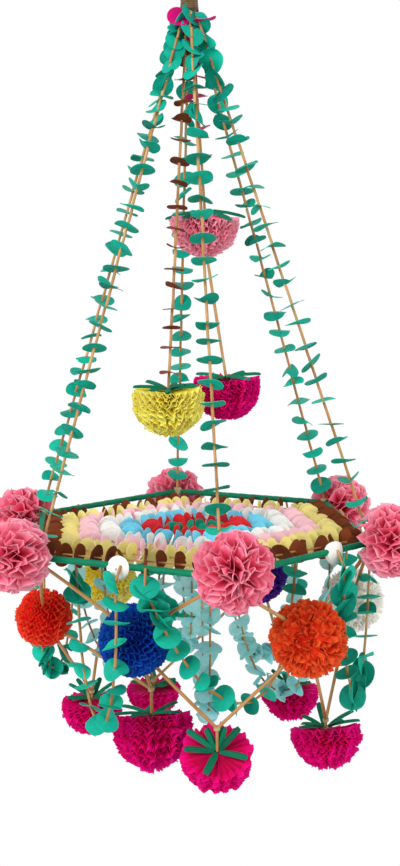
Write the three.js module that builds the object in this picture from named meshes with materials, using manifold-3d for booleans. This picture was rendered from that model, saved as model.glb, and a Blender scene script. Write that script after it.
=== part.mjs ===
// Paper chandelier: a straw-and-paper spider that hangs from a loop.
// Millimetres, +Z up. The origin is the top inside of the loop, where a hook bears.
// The rim is a hexagon with one corner towards -Y. Corners and sides are numbered 1 to 6, anticlockwise from
// above, and side k runs from corner k to corner k + 1.
import * as THREE from "three";
import { mergeVertices } from "three/addons/utils/BufferGeometryUtils.js";
import Module from "manifold-3d";

const wasm = await Module();
wasm.setup();

// Gap between pieces that touch
const FIT = 0.3;

// Rim
const RIM_CORNER = 190;
const RIM_TUBE = 3.5;
const SIDES = 6;
const RIM_FACETS = 8;

// Straws and paper discs
const STRAW = 1.8;
const BRACE = 2;
const DISC = 12;
const DISC_THICK = 1.6;
const DISC_FACETS = 6;
const SMALL_FACETS = 5;
const STRAW_FACETS = 3;

// Hanging tie
const LOOP = 11;
const LOOP_CORD = 1.6;
const TIE_RADIUS = 9.5;
const TIE_HEIGHT = 20;
const TIE_FACETS = 8;

// Strands from the rim to the tie
const STRAND_RISE = 530;
const STRAND_GATHER = 6.6;
const STRAND_DISCS = 15;
const STRAND_BARE_TOP = 66;
const STRAND_BARE_FOOT = 34;

// Web of disc rows, from the outside in
const WEB_CORD = 0.9;
const WEB_STRAW = 1.5;
const WEB_DISC = 11.5;
const WEB_HUB_DISC = 10;
const WEB_PITCH = 24;
const WEB_ROWS = [
  { name: "brown", discs: 7, colour: 0x4a1d12 },
  { name: "yellow", discs: 6, colour: 0xf2c318 },
  { name: "pale_pink", discs: 5, colour: 0xf3b9c4 },
  { name: "white", discs: 4, colour: 0xf4f1ea },
  { name: "sky_blue", discs: 3, colour: 0x7fc4dc },
  { name: "red", discs: 2, colour: 0xc7202a },
  { name: "dark_green", discs: 1, colour: 0x0d5a3c },
];
const WEB_ROW_STEP = 22.5;
const WEB_RIM_GAP = 0.5;
// The web hangs below the rim's plane at its middle, and slopes down to the back
const WEB_SAG = 7;
const WEB_SLOPE = 0.041;
// The rows bulge to the left and right, the outermost only as far as the rim lets it
const WEB_BULGE = 10;
const WEB_FIRST_BULGE = 1.5;

// Tissue pompoms
const POM_RUFFLE = 0.09;
const POM_FLUTES = 10;
const CORNER_POM = 38.5;
const CORNER_POM_REACH = 25;
// How far each corner pompom is pulled up by its thread, and along the rim
const CORNER_POMS = [
  { lift: -8, shift: 0 },
  { lift: 5, shift: -4 },
  { lift: 12, shift: 7 },
  { lift: 6, shift: -6 },
  { lift: -9, shift: 0 },
  { lift: -12, shift: 0 },
];

// Rosettes of paper strips on the half-pompoms
const LEAF_THICK = 0.8;
const LEAF_WIDTH = 7;
const LEAF_HUB = 4;
const LEAF_ARMS = 6;
const LEAF_INSET = 2;

// Pendants inside the cone: place of the flat top from the rim's centre, radius, and how far the widest level lies
// below the flat top
const PINK_HALF = { x: 16.5, y: 27, z: 333, radius: 37.3, shoulder: 9 };
const YELLOW_HALF = { x: -29, y: -17, z: 150.5, radius: 39, shoulder: 9.5 };
const MAGENTA_HALF = { x: 37, y: 17, z: 157, radius: 38, shoulder: 6 };
const PENDANT_GATHER = 2.3;
const PENDANT_DISC = 9.5;
const PENDANT_BARE_TOP = 72;
const PENDANT_BARE_FOOT = 14;
const BROWN_DISCS = 9;
const MAGENTA_DISCS = 5;

// Coloured pompoms under the sides: distance from the axis, turn from the side's middle, depth below the rim
const MID_POMS = [
  { name: "red", radius: 32, reach: 165, turn: 0, depth: 92, colour: 0xc8281e },
  { name: "blue", radius: 36, reach: 130, turn: -5, depth: 85, colour: 0x123a9c },
  { name: "orange", radius: 36.5, reach: 178, turn: 0, depth: 76, colour: 0xf08a1c },
  { name: "white", radius: 34, reach: 174, turn: 0, depth: 90, colour: 0xf3efe6 },
  { name: "purple", radius: 34, reach: 165, turn: -5, depth: 96, colour: 0x6a3a9a },
  { name: "yellow", radius: 34, reach: 165, turn: 3, depth: 95, colour: 0xf0c81e },
];
const STRAW_KNOT = 4.5;

// Points below the corners where two lower straws meet, the short straw there and the half-pompom on it;
// lean tips its flat top to the back, in degrees
const LOW_POMS = [
  { radius: 36, shoulder: 6, reach: 133, turn: 0, depth: 205, hang: 8, lean: 5 },
  { radius: 44, shoulder: 12, reach: 98, turn: 24, depth: 148, hang: 27, lean: 20 },
  { radius: 37, shoulder: 5.5, reach: 150, turn: 0, depth: 163, hang: 22, lean: -28 },
  { radius: 39, shoulder: 3, reach: 146, turn: 0, depth: 196, hang: 8, lean: 20 },
  { radius: 36, shoulder: 3.5, reach: 142, turn: 3, depth: 210, hang: 8, lean: 8 },
  { radius: 34, shoulder: 1, reach: 122, turn: 19, depth: 215, hang: 8, lean: 0 },
];

// Green swags, one at each corner: where each end is tied, along the rim from the corner, and how far it sags.
// An end with a cord hangs from that web cord instead, at a reach from the axis. slant leans its first arm towards
// the far end, and skew puts its lowest point nearer to that end
const SWAG_DISCS = 8;
const SWAG_BARE = 22;
const SWAG_BUTTON = 8;
const SWAGS = [
  { back: 50, ahead: 50, sag: 182 },
  { backCord: 2, reach: 150, ahead: 90, sag: 167 },
  { back: 74, aheadCord: 4, reach: 112, sag: 156, slant: 0.22, skew: 0.34 },
  { back: 50, ahead: 50, sag: 165 },
  { back: 50, ahead: 50, sag: 150 },
  { back: 50, ahead: 50, sag: 155 },
];

// Aqua festoons, one towards each corner: where the outer end is tied on the web cord, and how far it sags
const FESTOON_STRAW = 1.5;
const FESTOON_DISC = 11;
const FESTOON_DISCS = 4;
const FESTOON_BARE = 46;
const FESTOON_INNER = 42;
const FESTOONS = [
  { outer: 150, sag: 158 },
  { outer: 120, sag: 118 },
  { outer: 112, sag: 170 },
  { outer: 150, sag: 165 },
  { outer: 150, sag: 155 },
  { outer: 150, sag: 148 },
];

const UP = new THREE.Vector3(0, 0, 1);
const DOWN = new THREE.Vector3(0, 0, -1);
const RIM_APOTHEM = RIM_CORNER * Math.cos(Math.PI / SIDES);
const RIM_MITRE = RIM_TUBE / Math.cos(Math.PI / SIDES);
const WEB_CORD_TOP = 2 * WEB_CORD;
const WEB_LEVEL = WEB_CORD_TOP + FIT + WEB_STRAW;
const BRACE_FACETS = 4;

function degrees(angle) {
  return THREE.MathUtils.degToRad(angle);
}

function cornerAzimuth(k) {
  return degrees(90 + 60 * k);
}

function sideAzimuth(k) {
  return degrees(120 + 60 * k);
}

function heading(azimuth) {
  return new THREE.Vector3(Math.cos(azimuth), Math.sin(azimuth), 0);
}

function polar(azimuth, reach, z) {
  return heading(azimuth).multiplyScalar(reach).setZ(z);
}

// Height of the underside of the web's cords at a place across the rim
function webFloor(y) {
  return -WEB_SAG - WEB_SLOPE * y;
}

function pointBeyond(point, direction, distance) {
  return point.clone().addScaledVector(direction, distance);
}

// A regular polygon of points across a direction; its first point lies towards side
function ring(centre, along, side, radius, sides) {
  const u = side.clone().addScaledVector(along, -side.dot(along)).normalize();
  const v = along.clone().cross(u);
  return Array.from({ length: sides }, (_, i) => {
    const angle = (2 * Math.PI * i) / sides;
    return centre.clone()
      .addScaledVector(u, radius * Math.cos(angle))
      .addScaledVector(v, radius * Math.sin(angle));
  });
}

// A closed skin over a row of rings, whose numbers of points may differ; a ring of one point is a pole
function loft(rings, closed = false) {
  const positions = rings.flat().flatMap((p) => [p.x, p.y, p.z]);
  const starts = [];
  let next = 0;
  for (const points of rings) {
    starts.push(next);
    next += points.length;
  }
  const faces = [];
  const spans = closed ? rings.length : rings.length - 1;
  for (let r = 0; r < spans; r++) {
    const s = (r + 1) % rings.length;
    const nearCount = rings[r].length;
    const farCount = rings[s].length;
    const near = (i) => starts[r] + (i % nearCount);
    const far = (j) => starts[s] + (j % farCount);
    const nearSteps = nearCount > 1 ? nearCount : 0;
    const farSteps = farCount > 1 ? farCount : 0;
    let i = 0;
    let j = 0;
    while (i < nearSteps || j < farSteps) {
      const nearFirst = (i + 1) * farCount <= (j + 1) * nearCount;
      if (i < nearSteps && (nearFirst || j === farSteps)) {
        faces.push(near(i), near(i + 1), far(j));
        i += 1;
      } else {
        faces.push(near(i), far(j + 1), far(j));
        j += 1;
      }
    }
  }
  if (!closed) {
    const last = rings.length - 1;
    for (let i = 1; i < rings[0].length - 1; i++) {
      faces.push(starts[0], starts[0] + i + 1, starts[0] + i);
    }
    for (let i = 1; i < rings[last].length - 1; i++) {
      faces.push(starts[last], starts[last] + i, starts[last] + i + 1);
    }
  }
  const geometry = new THREE.BufferGeometry();
  geometry.setAttribute("position", new THREE.Float32BufferAttribute(positions, 3));
  geometry.setIndex(faces);
  return geometry;
}

function solidOf(geometry) {
  const bare = geometry.clone();
  for (const name of Object.keys(bare.attributes)) {
    if (name !== "position") {
      bare.deleteAttribute(name);
    }
  }
  const merged = mergeVertices(bare, 1e-4);
  return new wasm.Manifold(new wasm.Mesh({
    numProp: 3,
    vertProperties: new Float32Array(merged.attributes.position.array),
    triVerts: new Uint32Array(merged.index.array),
  }));
}

function geometryOf(solid) {
  const mesh = solid.getMesh();
  const geometry = new THREE.BufferGeometry();
  geometry.setAttribute("position", new THREE.Float32BufferAttribute(mesh.vertProperties, 3));
  geometry.setIndex(Array.from(mesh.triVerts));
  return geometry;
}

function joined(...geometries) {
  return geometryOf(geometries.map(solidOf).reduce((whole, piece) => whole.add(piece)));
}

// The first geometry less those of the tools that reach into it
function carved(geometry, tools) {
  geometry.computeBoundingBox();
  const near = tools.filter((tool) => {
    tool.computeBoundingBox();
    return tool.boundingBox.intersectsBox(geometry.boundingBox);
  });
  return geometryOf(near.map(solidOf).reduce((whole, tool) => whole.subtract(tool), solidOf(geometry)));
}

// A rod along a bent path, mitred at its bends
function rod(points, radius, sides, closed = false) {
  const count = points.length;
  const rings = points.map((point, i) => {
    const before = points[(i + count - 1) % count];
    const after = points[(i + 1) % count];
    const first = !closed && i === 0;
    const last = !closed && i === count - 1;
    const inward = first ? after.clone().sub(point) : point.clone().sub(before);
    const outward = last ? inward.clone() : after.clone().sub(point);
    inward.normalize();
    outward.normalize();
    const plane = inward.clone().add(outward).normalize();
    const side = Math.abs(inward.z) > 0.95 ? new THREE.Vector3(1, 0, 0) : UP;
    return ring(point, inward, side, radius, sides).map((corner) => {
      const slide = -corner.clone().sub(point).dot(plane) / inward.dot(plane);
      return corner.addScaledVector(inward, slide);
    });
  });
  return loft(rings, closed);
}

// Rings of a disc on a straw: the straw where it goes in, the disc's edge and the straw where it comes out
function discRings(centre, along, side, straw, disc, facets) {
  return [
    ring(pointBeyond(centre, along, -DISC_THICK / 2), along, side, straw, STRAW_FACETS),
    ring(centre, along, side, disc, facets),
    ring(pointBeyond(centre, along, DISC_THICK / 2), along, side, straw, STRAW_FACETS),
  ];
}

// Rings of straws and discs along a curve; first and last are the lengths left bare at the ends
function stringRings(curve, side, { straw, disc, facets, count, first, last }) {
  const length = curve.getLength();
  const pitch = count > 1 ? (length - first - last) / (count - 1) : 0;
  const rings = [];
  for (let i = 0; i < count; i++) {
    const u = (first + i * pitch) / length;
    const along = curve.getTangentAt(u);
    rings.push(...discRings(curve.getPointAt(u), along, side, straw, disc, facets));
  }
  return rings;
}

function straightString(from, to, side, options) {
  const curve = new THREE.LineCurve3(from, to);
  const along = to.clone().sub(from).normalize();
  return loft([
    ring(from, along, side, options.straw, STRAW_FACETS),
    ...stringRings(curve, side, options),
    ring(to, along, side, options.straw, STRAW_FACETS),
  ]);
}

// A curve that drops from one end and rises straight to the other
function hangingCurve(from, to, sag, slant = 0, skew = 0) {
  const depth = (4 / 3) * sag;
  return new THREE.CubicBezierCurve3(
    from,
    pointBeyond(from.clone().lerp(to, slant), DOWN, depth * (1 - skew)),
    pointBeyond(to, DOWN, depth * (1 + skew)),
    to,
  );
}

// A ruffled ball of tissue
function ball(radius) {
  const rows = 5;
  const rings = Array.from({ length: rows + 1 }, (_, row) => {
    const polarAngle = -Math.PI / 2 + (Math.PI * row) / rows;
    if (row === 0 || row === rows) {
      return [new THREE.Vector3(0, 0, radius * Math.sin(polarAngle))];
    }
    return Array.from({ length: POM_FLUTES }, (_, i) => {
      const reach = radius * (1 - POM_RUFFLE * ((i + row) % 2));
      const azimuth = (2 * Math.PI * i) / POM_FLUTES;
      return polar(azimuth, reach * Math.cos(polarAngle), reach * Math.sin(polarAngle));
    });
  });
  return loft(rings);
}

// A ball cut flat a little above its middle, flat side up at z = 0
function halfBall(radius, shoulder) {
  const rows = 3;
  const cut = Math.asin(shoulder / radius);
  const pole = [new THREE.Vector3(0, 0, -radius - shoulder)];
  const rings = Array.from({ length: rows }, (_, row) => {
    const polarAngle = -Math.PI / 2 + (Math.PI / 2 + cut) * ((row + 1) / rows);
    return Array.from({ length: POM_FLUTES }, (_, i) => {
      const reach = radius * (1 - POM_RUFFLE * ((i + row) % 2));
      const azimuth = (2 * Math.PI * i) / POM_FLUTES;
      return polar(azimuth, reach * Math.cos(polarAngle), reach * Math.sin(polarAngle) - shoulder);
    });
  });
  return loft([pole, ...rings, [new THREE.Vector3(0, 0, 0)]]);
}

// Flat arms of one width from a hub, lying on z = 0
function star(arms, hub, reach, width, thick) {
  const outline = [];
  for (let i = 0; i < arms; i++) {
    const azimuth = (2 * Math.PI * i) / arms;
    const across = heading(azimuth + Math.PI / 2);
    const tip = polar(azimuth, reach, 0);
    outline.push(polar(azimuth - Math.PI / arms, hub, 0));
    outline.push(pointBeyond(tip, across, -width / 2), pointBeyond(tip, across, width / 2));
  }
  const shape = new THREE.Shape(outline.map((p) => new THREE.Vector2(p.x, p.y)));
  return new THREE.ExtrudeGeometry(shape, { depth: thick, bevelEnabled: false });
}

function paper(colour) {
  return new THREE.MeshStandardMaterial({ color: colour, roughness: 0.85, metalness: 0 });
}

const STRAW_LOOK = new THREE.MeshStandardMaterial({ color: 0xa8742c, roughness: 0.6, metalness: 0 });
const CORD_LOOK = new THREE.MeshStandardMaterial({ color: 0x6b4a22, roughness: 0.9, metalness: 0 });
const TEAL = paper(0x12a384);
const LEAF = paper(0x0d7f5e);
const AQUA = paper(0x7cc9cf);
const PINK = paper(0xe88a9c);
const MAGENTA = paper(0xd1105f);
const RIM_GREEN = paper(0x0f7a4c);

const chandelier = new THREE.Group();
chandelier.name = "paper_chandelier";
const body = new THREE.Group();
body.name = "below_tie";
chandelier.add(body);

function addMesh(parent, name, geometry, material) {
  const mesh = new THREE.Mesh(geometry, material);
  mesh.name = name;
  parent.add(mesh);
  return mesh;
}

// Hanging tie: a barrel of wound cord over the gathered strands, and a loop
function hangingTie() {
  const flare = TIE_RADIUS * 0.82;
  const profile = [
    new THREE.Vector2(0, 0),
    new THREE.Vector2(TIE_RADIUS, 0),
    new THREE.Vector2(flare, TIE_HEIGHT / 2),
    new THREE.Vector2(TIE_RADIUS, TIE_HEIGHT * 0.8),
    new THREE.Vector2(LOOP_CORD * 2, TIE_HEIGHT),
    new THREE.Vector2(0, TIE_HEIGHT),
  ];
  const barrel = new THREE.LatheGeometry(profile, TIE_FACETS);
  barrel.rotateX(Math.PI / 2);
  const loop = new THREE.TorusGeometry(LOOP, LOOP_CORD, 5, TIE_FACETS);
  loop.rotateZ(Math.PI / 2);
  loop.rotateX(Math.PI / 2);
  loop.translate(0, 0, TIE_HEIGHT + LOOP - LOOP_CORD);
  return joined(barrel, loop);
}
const TIE_FOOT = -(TIE_HEIGHT + 2 * (LOOP - LOOP_CORD));
const RIM_LEVEL = TIE_FOOT - FIT - STRAND_RISE;
addMesh(chandelier, "hanging_tie", hangingTie(), CORD_LOOK).position.z = TIE_FOOT;
body.position.z = RIM_LEVEL;

// Rim
const corners = Array.from({ length: SIDES }, (_, i) => polar(cornerAzimuth(i + 1), RIM_CORNER, 0));
addMesh(body, "rim", rod(corners, RIM_TUBE, RIM_FACETS, true), RIM_GREEN);

// Strands from the corners to the tie
const STRAND_FOOT = RIM_TUBE + FIT + STRAW * 0.4;
for (let k = 1; k <= SIDES; k++) {
  const azimuth = cornerAzimuth(k);
  const strand = straightString(
    polar(azimuth, RIM_CORNER, STRAND_FOOT),
    polar(azimuth, STRAND_GATHER, STRAND_RISE - STRAW * 0.4),
    heading(azimuth + Math.PI / 2),
    { straw: STRAW, disc: DISC, facets: DISC_FACETS, count: STRAND_DISCS, first: STRAND_BARE_FOOT, last: STRAND_BARE_TOP },
  );
  addMesh(body, `strand_${k}`, strand, TEAL);
}

// Half-pompoms with their rosettes; at is the middle of the flat top
function addHalfPom(name, at, { radius, shoulder, lean = 0 }, turn, material) {
  const half = new THREE.Group();
  half.name = `${name}_half`;
  half.position.copy(at);
  half.rotation.set(-degrees(lean), 0, turn);
  body.add(half);
  addMesh(half, `${name}_half_pom`, halfBall(radius, shoulder), material);
  const leaves = star(LEAF_ARMS, LEAF_HUB, radius - LEAF_INSET, LEAF_WIDTH, LEAF_THICK);
  addMesh(half, `${name}_leaves`, leaves, LEAF).position.z = FIT;
}
const LEAF_TOP = FIT + LEAF_THICK;

// Pendants inside the cone
function pendantTop(side) {
  return new THREE.Vector3(side * PENDANT_GATHER, 0, STRAND_RISE);
}
function pendantFoot(half) {
  return new THREE.Vector3(half.x, half.y, half.z + LEAF_TOP + FIT + STRAW * 0.25);
}
const pendantDiscs = { straw: STRAW, disc: PENDANT_DISC, facets: SMALL_FACETS, first: PENDANT_BARE_TOP, last: PENDANT_BARE_FOOT };
const ACROSS = new THREE.Vector3(0, 1, 0);
addMesh(body, "brown_pendant_string", straightString(
  pendantTop(-1), pendantFoot(YELLOW_HALF), ACROSS, { ...pendantDiscs, count: BROWN_DISCS },
), paper(0x5a2a16));
addMesh(body, "magenta_pendant_string", straightString(
  pendantTop(1), pendantFoot(PINK_HALF), ACROSS, { ...pendantDiscs, first: PENDANT_BARE_TOP + 12, count: MAGENTA_DISCS },
), MAGENTA);
addMesh(body, "lower_pendant_straw", rod([
  new THREE.Vector3(PINK_HALF.x, PINK_HALF.y, PINK_HALF.z - PINK_HALF.shoulder - PINK_HALF.radius - FIT),
  pendantFoot(MAGENTA_HALF),
], STRAW, BRACE_FACETS), STRAW_LOOK);
addHalfPom("pink", new THREE.Vector3(PINK_HALF.x, PINK_HALF.y, PINK_HALF.z), PINK_HALF, 0.3, PINK);
addHalfPom("yellow", new THREE.Vector3(YELLOW_HALF.x, YELLOW_HALF.y, YELLOW_HALF.z), YELLOW_HALF, 0, paper(0xe9c81c));
addHalfPom("magenta", new THREE.Vector3(MAGENTA_HALF.x, MAGENTA_HALF.y, MAGENTA_HALF.z), MAGENTA_HALF, 0.2, MAGENTA);

// Web: cords from corner to corner, and hexagonal rows of discs lying on them. Each cord drops from the rim to the
// outermost row and crosses to the other side on the web's own plane
const FIRST_ROW = RIM_APOTHEM - RIM_TUBE - WEB_RIM_GAP - WEB_DISC;
const WEB_TILT = Math.atan(WEB_SLOPE);
const web = new THREE.Group();
web.name = "web";
web.position.z = -WEB_SAG;
web.rotation.x = -WEB_TILT;
body.add(web);

function webCord(k) {
  const cordEnd = RIM_CORNER - RIM_MITRE - FIT - WEB_CORD;
  const drop = FIRST_ROW / Math.cos(Math.PI / SIDES);
  const atRim = (corner) => polar(cornerAzimuth(corner), cordEnd, WEB_SAG)
    .applyAxisAngle(new THREE.Vector3(1, 0, 0), WEB_TILT);
  return rod([
    atRim(k),
    polar(cornerAzimuth(k), drop, WEB_CORD),
    polar(cornerAzimuth(k + 3), drop, WEB_CORD),
    atRim(k + 3),
  ], WEB_CORD, BRACE_FACETS);
}
addMesh(web, "web_cords", joined(webCord(1), webCord(2), webCord(3)), CORD_LOOK);

function webRow(apothem, bulge, discs, disc) {
  const rings = [];
  for (let k = 1; k <= SIDES; k++) {
    const along = heading(sideAzimuth(k) + Math.PI / 2);
    const middle = polar(sideAzimuth(k), apothem + (k % 3 === 1 ? bulge : 0), WEB_LEVEL);
    for (let i = 0; i < discs; i++) {
      const centre = pointBeyond(middle, along, (i - (discs - 1) / 2) * WEB_PITCH);
      rings.push(...discRings(centre, along, DOWN, WEB_STRAW, disc, SMALL_FACETS));
    }
  }
  return loft(rings, true);
}
WEB_ROWS.forEach((row, i) => {
  const disc = i === WEB_ROWS.length - 1 ? WEB_HUB_DISC : WEB_DISC;
  const bulge = i === 0 ? WEB_FIRST_BULGE : WEB_BULGE;
  addMesh(web, `web_row_${row.name}`, webRow(FIRST_ROW - i * WEB_ROW_STEP, bulge, row.discs, disc), paper(row.colour));
});

// Straws from the corners to the coloured pompoms and from those to the points below
const midCentres = MID_POMS.map((pom, i) => polar(sideAzimuth(i + 1) + degrees(pom.turn), pom.reach, -pom.depth));
const lowPoints = LOW_POMS.map((pom, i) => polar(cornerAzimuth(i + 1) + degrees(pom.turn), pom.reach, -pom.depth));
function upperStraws(radius, facets) {
  const top = -(RIM_TUBE + FIT + BRACE * 1.35);
  const path = corners.flatMap((corner, i) => [
    corner.clone().setZ(top),
    pointBeyond(midCentres[i], UP, STRAW_KNOT),
  ]);
  return rod(path, radius, facets, true);
}
function lowerStraws(radius, facets) {
  const path = lowPoints.flatMap((point, i) => [point, pointBeyond(midCentres[i], DOWN, STRAW_KNOT)]);
  return rod(path, radius, facets, true);
}
function dropStraw(i) {
  return rod([lowPoints[i], pointBeyond(lowPoints[i], DOWN, LOW_POMS[i].hang)], BRACE, BRACE_FACETS);
}
addMesh(body, "upper_straws", upperStraws(BRACE, BRACE_FACETS), STRAW_LOOK);
addMesh(body, "lower_straws", joined(lowerStraws(BRACE, BRACE_FACETS), ...LOW_POMS.map((_, i) => dropStraw(i))), STRAW_LOOK);

// Coloured pompoms, which give way to the straws through them
const STRAW_ROOM = BRACE + 2 * FIT;
const strawRoom = [upperStraws(STRAW_ROOM, BRACE_FACETS), lowerStraws(STRAW_ROOM, BRACE_FACETS)];
MID_POMS.forEach((pom, i) => {
  const tissue = ball(pom.radius);
  tissue.translate(midCentres[i].x, midCentres[i].y, midCentres[i].z);
  addMesh(body, `${pom.name}_pom`, carved(tissue, strawRoom), paper(pom.colour));
});

// Half-pompoms below, which clear the straw's end when they lean
LOW_POMS.forEach((pom, i) => {
  const lean = degrees(Math.abs(pom.lean));
  const clear = BRACE * Math.tan(lean) + (FIT + LEAF_TOP) / Math.cos(lean);
  const at = pointBeyond(lowPoints[i], DOWN, pom.hang + clear);
  addHalfPom(`low_${i + 1}`, at, pom, 0.35 * i, MAGENTA);
});

// Corner pompoms, pressed flat against the rim's corners
for (let k = 1; k <= SIDES; k++) {
  const azimuth = cornerAzimuth(k);
  const tissue = ball(CORNER_POM);
  tissue.translate(CORNER_POM_REACH, CORNER_POMS[k - 1].shift, CORNER_POMS[k - 1].lift);
  const press = new THREE.BoxGeometry(4 * CORNER_POM, 4 * CORNER_POM, 4 * CORNER_POM);
  press.translate(RIM_MITRE + FIT - 2 * CORNER_POM, 0, 0);
  const pom = addMesh(body, `corner_pom_${k}`, carved(tissue, [press]), PINK);
  pom.position.copy(polar(azimuth, RIM_CORNER, 0));
  pom.rotation.z = azimuth;
}

// Green swags: a button on the rim's outside, then a string that hangs clear of the straws under the rim. An end
// on a web cord just hangs from it
const SWAG_CLEAR = DISC + BRACE + 4 * FIT;
function tiePoint(k, distance, ahead) {
  const side = ahead ? k : k - 1;
  const along = heading(sideAzimuth(side) + (ahead ? 1 : -1) * Math.PI / 2);
  return { at: pointBeyond(corners[k - 1], along, distance), outward: heading(sideAzimuth(side)) };
}
// Rings from the rim out to where the string bends down, or the other way when it comes back to the rim
function stubRings(tie, radial, leaving) {
  const along = tie.outward.clone().multiplyScalar(leaving ? 1 : -1);
  const side = radial.dot(tie.outward) > 0 ? UP : DOWN;
  const foot = pointBeyond(tie.at, tie.outward, RIM_TUBE + FIT);
  const button = pointBeyond(foot, tie.outward, DISC_THICK);
  const footRing = ring(foot, along, side, STRAW, STRAW_FACETS);
  const buttonRings = discRings(button, along, side, STRAW, SWAG_BUTTON, SMALL_FACETS);
  const bend = along.clone().add(leaving ? DOWN : UP).normalize();
  const bendRing = ring(swagBend(tie), bend, radial, STRAW, STRAW_FACETS);
  return leaving ? [footRing, ...buttonRings, bendRing] : [bendRing, ...buttonRings, footRing];
}
function swagBend(tie) {
  return pointBeyond(tie.at, tie.outward, SWAG_CLEAR);
}
function cordPoint(k, reach) {
  const point = polar(cornerAzimuth(k), reach, 0);
  return point.setZ(webFloor(point.y) - FIT);
}
function swag(k, { back, backCord, ahead, aheadCord, reach, sag, slant, skew }) {
  const radial = heading(cornerAzimuth(k));
  const from = backCord ? null : tiePoint(k, back, false);
  const to = aheadCord ? null : tiePoint(k, ahead, true);
  const start = from ? swagBend(from) : cordPoint(backCord, reach);
  const end = to ? swagBend(to) : cordPoint(aheadCord, reach);
  const curve = hangingCurve(start, end, sag, slant, skew);
  const discs = {
    straw: STRAW, disc: DISC, facets: SMALL_FACETS, count: SWAG_DISCS, first: SWAG_BARE, last: SWAG_BARE,
  };
  return loft([
    ...(from ? stubRings(from, radial, true) : [ring(start, DOWN, radial, STRAW, STRAW_FACETS)]),
    ...stringRings(curve, radial, discs),
    ...(to ? stubRings(to, radial, false) : [ring(end, UP, radial, STRAW, STRAW_FACETS)]),
  ]);
}
SWAGS.forEach((options, i) => {
  addMesh(body, `swag_${i + 1}`, swag(i + 1, options), TEAL);
});

// Aqua festoons: three cords, each from a web cord down and up to the middle, and the same beyond it
function festoonArm(k, level) {
  const inner = polar(cornerAzimuth(k), FESTOON_INNER, 0);
  inner.setZ(webFloor(inner.y) + level);
  return hangingCurve(cordPoint(k, FESTOONS[k - 1].outer), inner, FESTOONS[k - 1].sag);
}
function festoon(k, level) {
  const discs = {
    straw: FESTOON_STRAW,
    disc: FESTOON_DISC,
    facets: SMALL_FACETS,
    count: FESTOON_DISCS,
    first: FESTOON_BARE,
    last: FESTOON_BARE,
  };
  const side = heading(cornerAzimuth(k) + Math.PI / 2);
  const near = festoonArm(k, level);
  const beyond = festoonArm(k + 3, level);
  const inward = heading(cornerAzimuth(k + 3));
  const bend = inward.clone().add(UP).normalize();
  const fall = inward.clone().add(DOWN).normalize();
  return loft([
    ring(near.v0, DOWN, side, FESTOON_STRAW, STRAW_FACETS),
    ...stringRings(near, side, discs),
    ring(near.v3, bend, side, FESTOON_STRAW, STRAW_FACETS),
    ring(beyond.v3, fall, side, FESTOON_STRAW, STRAW_FACETS),
    ...stringRings(new THREE.CubicBezierCurve3(beyond.v3, beyond.v2, beyond.v1, beyond.v0), side, discs),
    ring(beyond.v0, UP, side, FESTOON_STRAW, STRAW_FACETS),
  ]);
}
for (let k = 1; k <= 3; k++) {
  const level = -(FIT + FESTOON_STRAW) - (k - 1) * (2 * FESTOON_STRAW + FIT);
  addMesh(body, `festoon_${k}`, festoon(k, level), AQUA);
}

export default chandelier;
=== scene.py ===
# %% [markdown]
# A paper spider chandelier
# This is a folk hanging ornament: a hexagon of paper-wound tube hangs on six strands of straw and paper
# discs, carries a web of bright disc rows, and is dressed with tissue pompoms and looping garlands.
# The solids of the part are loaded first, as a fixed frame. Everything soft is then made again around
# them, sheet by sheet, because paper shows its thin edges, folds and creases from every side.

# %% Load the frame
import math

import bmesh
import bpy
import numpy as np
from mathutils import Matrix, Vector


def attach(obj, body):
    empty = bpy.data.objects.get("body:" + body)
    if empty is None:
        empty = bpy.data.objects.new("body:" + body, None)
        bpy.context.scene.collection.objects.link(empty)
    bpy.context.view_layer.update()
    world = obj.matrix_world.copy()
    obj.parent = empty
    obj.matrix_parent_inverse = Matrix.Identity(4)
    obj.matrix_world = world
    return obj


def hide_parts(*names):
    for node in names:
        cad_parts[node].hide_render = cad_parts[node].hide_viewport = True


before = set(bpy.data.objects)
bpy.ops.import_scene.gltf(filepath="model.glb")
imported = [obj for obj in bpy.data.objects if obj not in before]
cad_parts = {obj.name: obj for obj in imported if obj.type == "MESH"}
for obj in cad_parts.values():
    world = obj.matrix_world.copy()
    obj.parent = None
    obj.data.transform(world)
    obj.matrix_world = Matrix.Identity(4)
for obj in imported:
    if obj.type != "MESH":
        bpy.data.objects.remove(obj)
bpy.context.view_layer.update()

# %% [markdown]
# Camera
# The picture looks slightly down on the web, a little from the left, and the ornament fills the whole
# height. A camera could be dragged into place by eye, but its place was worked out from the six corners of
# the rim, so it is set from three angles and a focal length. The sensor's 36 mm are the frame's long side.

# %% Camera
CAMERA_AT = Vector((-0.13874, -1.15676, -0.28159))
CAMERA_YAW = math.radians(-7.114)
CAMERA_PITCH = math.radians(9.006)
CAMERA_ROLL = math.radians(0.691)
FOCAL_PIXELS = 1110.36
FRAME_HEIGHT = 866
SENSOR = 36

scene = bpy.context.scene


def put(name, data):
    """A new object in the scene."""
    made = bpy.data.objects.new(name, data)
    scene.collection.objects.link(made)
    return made


backward = Vector((
    math.sin(CAMERA_YAW) * math.cos(CAMERA_PITCH),
    -math.cos(CAMERA_YAW) * math.cos(CAMERA_PITCH),
    math.sin(CAMERA_PITCH),
))
level = Vector((math.cos(CAMERA_YAW), math.sin(CAMERA_YAW), 0))
rise = backward.cross(level)
right = math.cos(CAMERA_ROLL) * level - math.sin(CAMERA_ROLL) * rise
upward = math.sin(CAMERA_ROLL) * level + math.cos(CAMERA_ROLL) * rise

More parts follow.
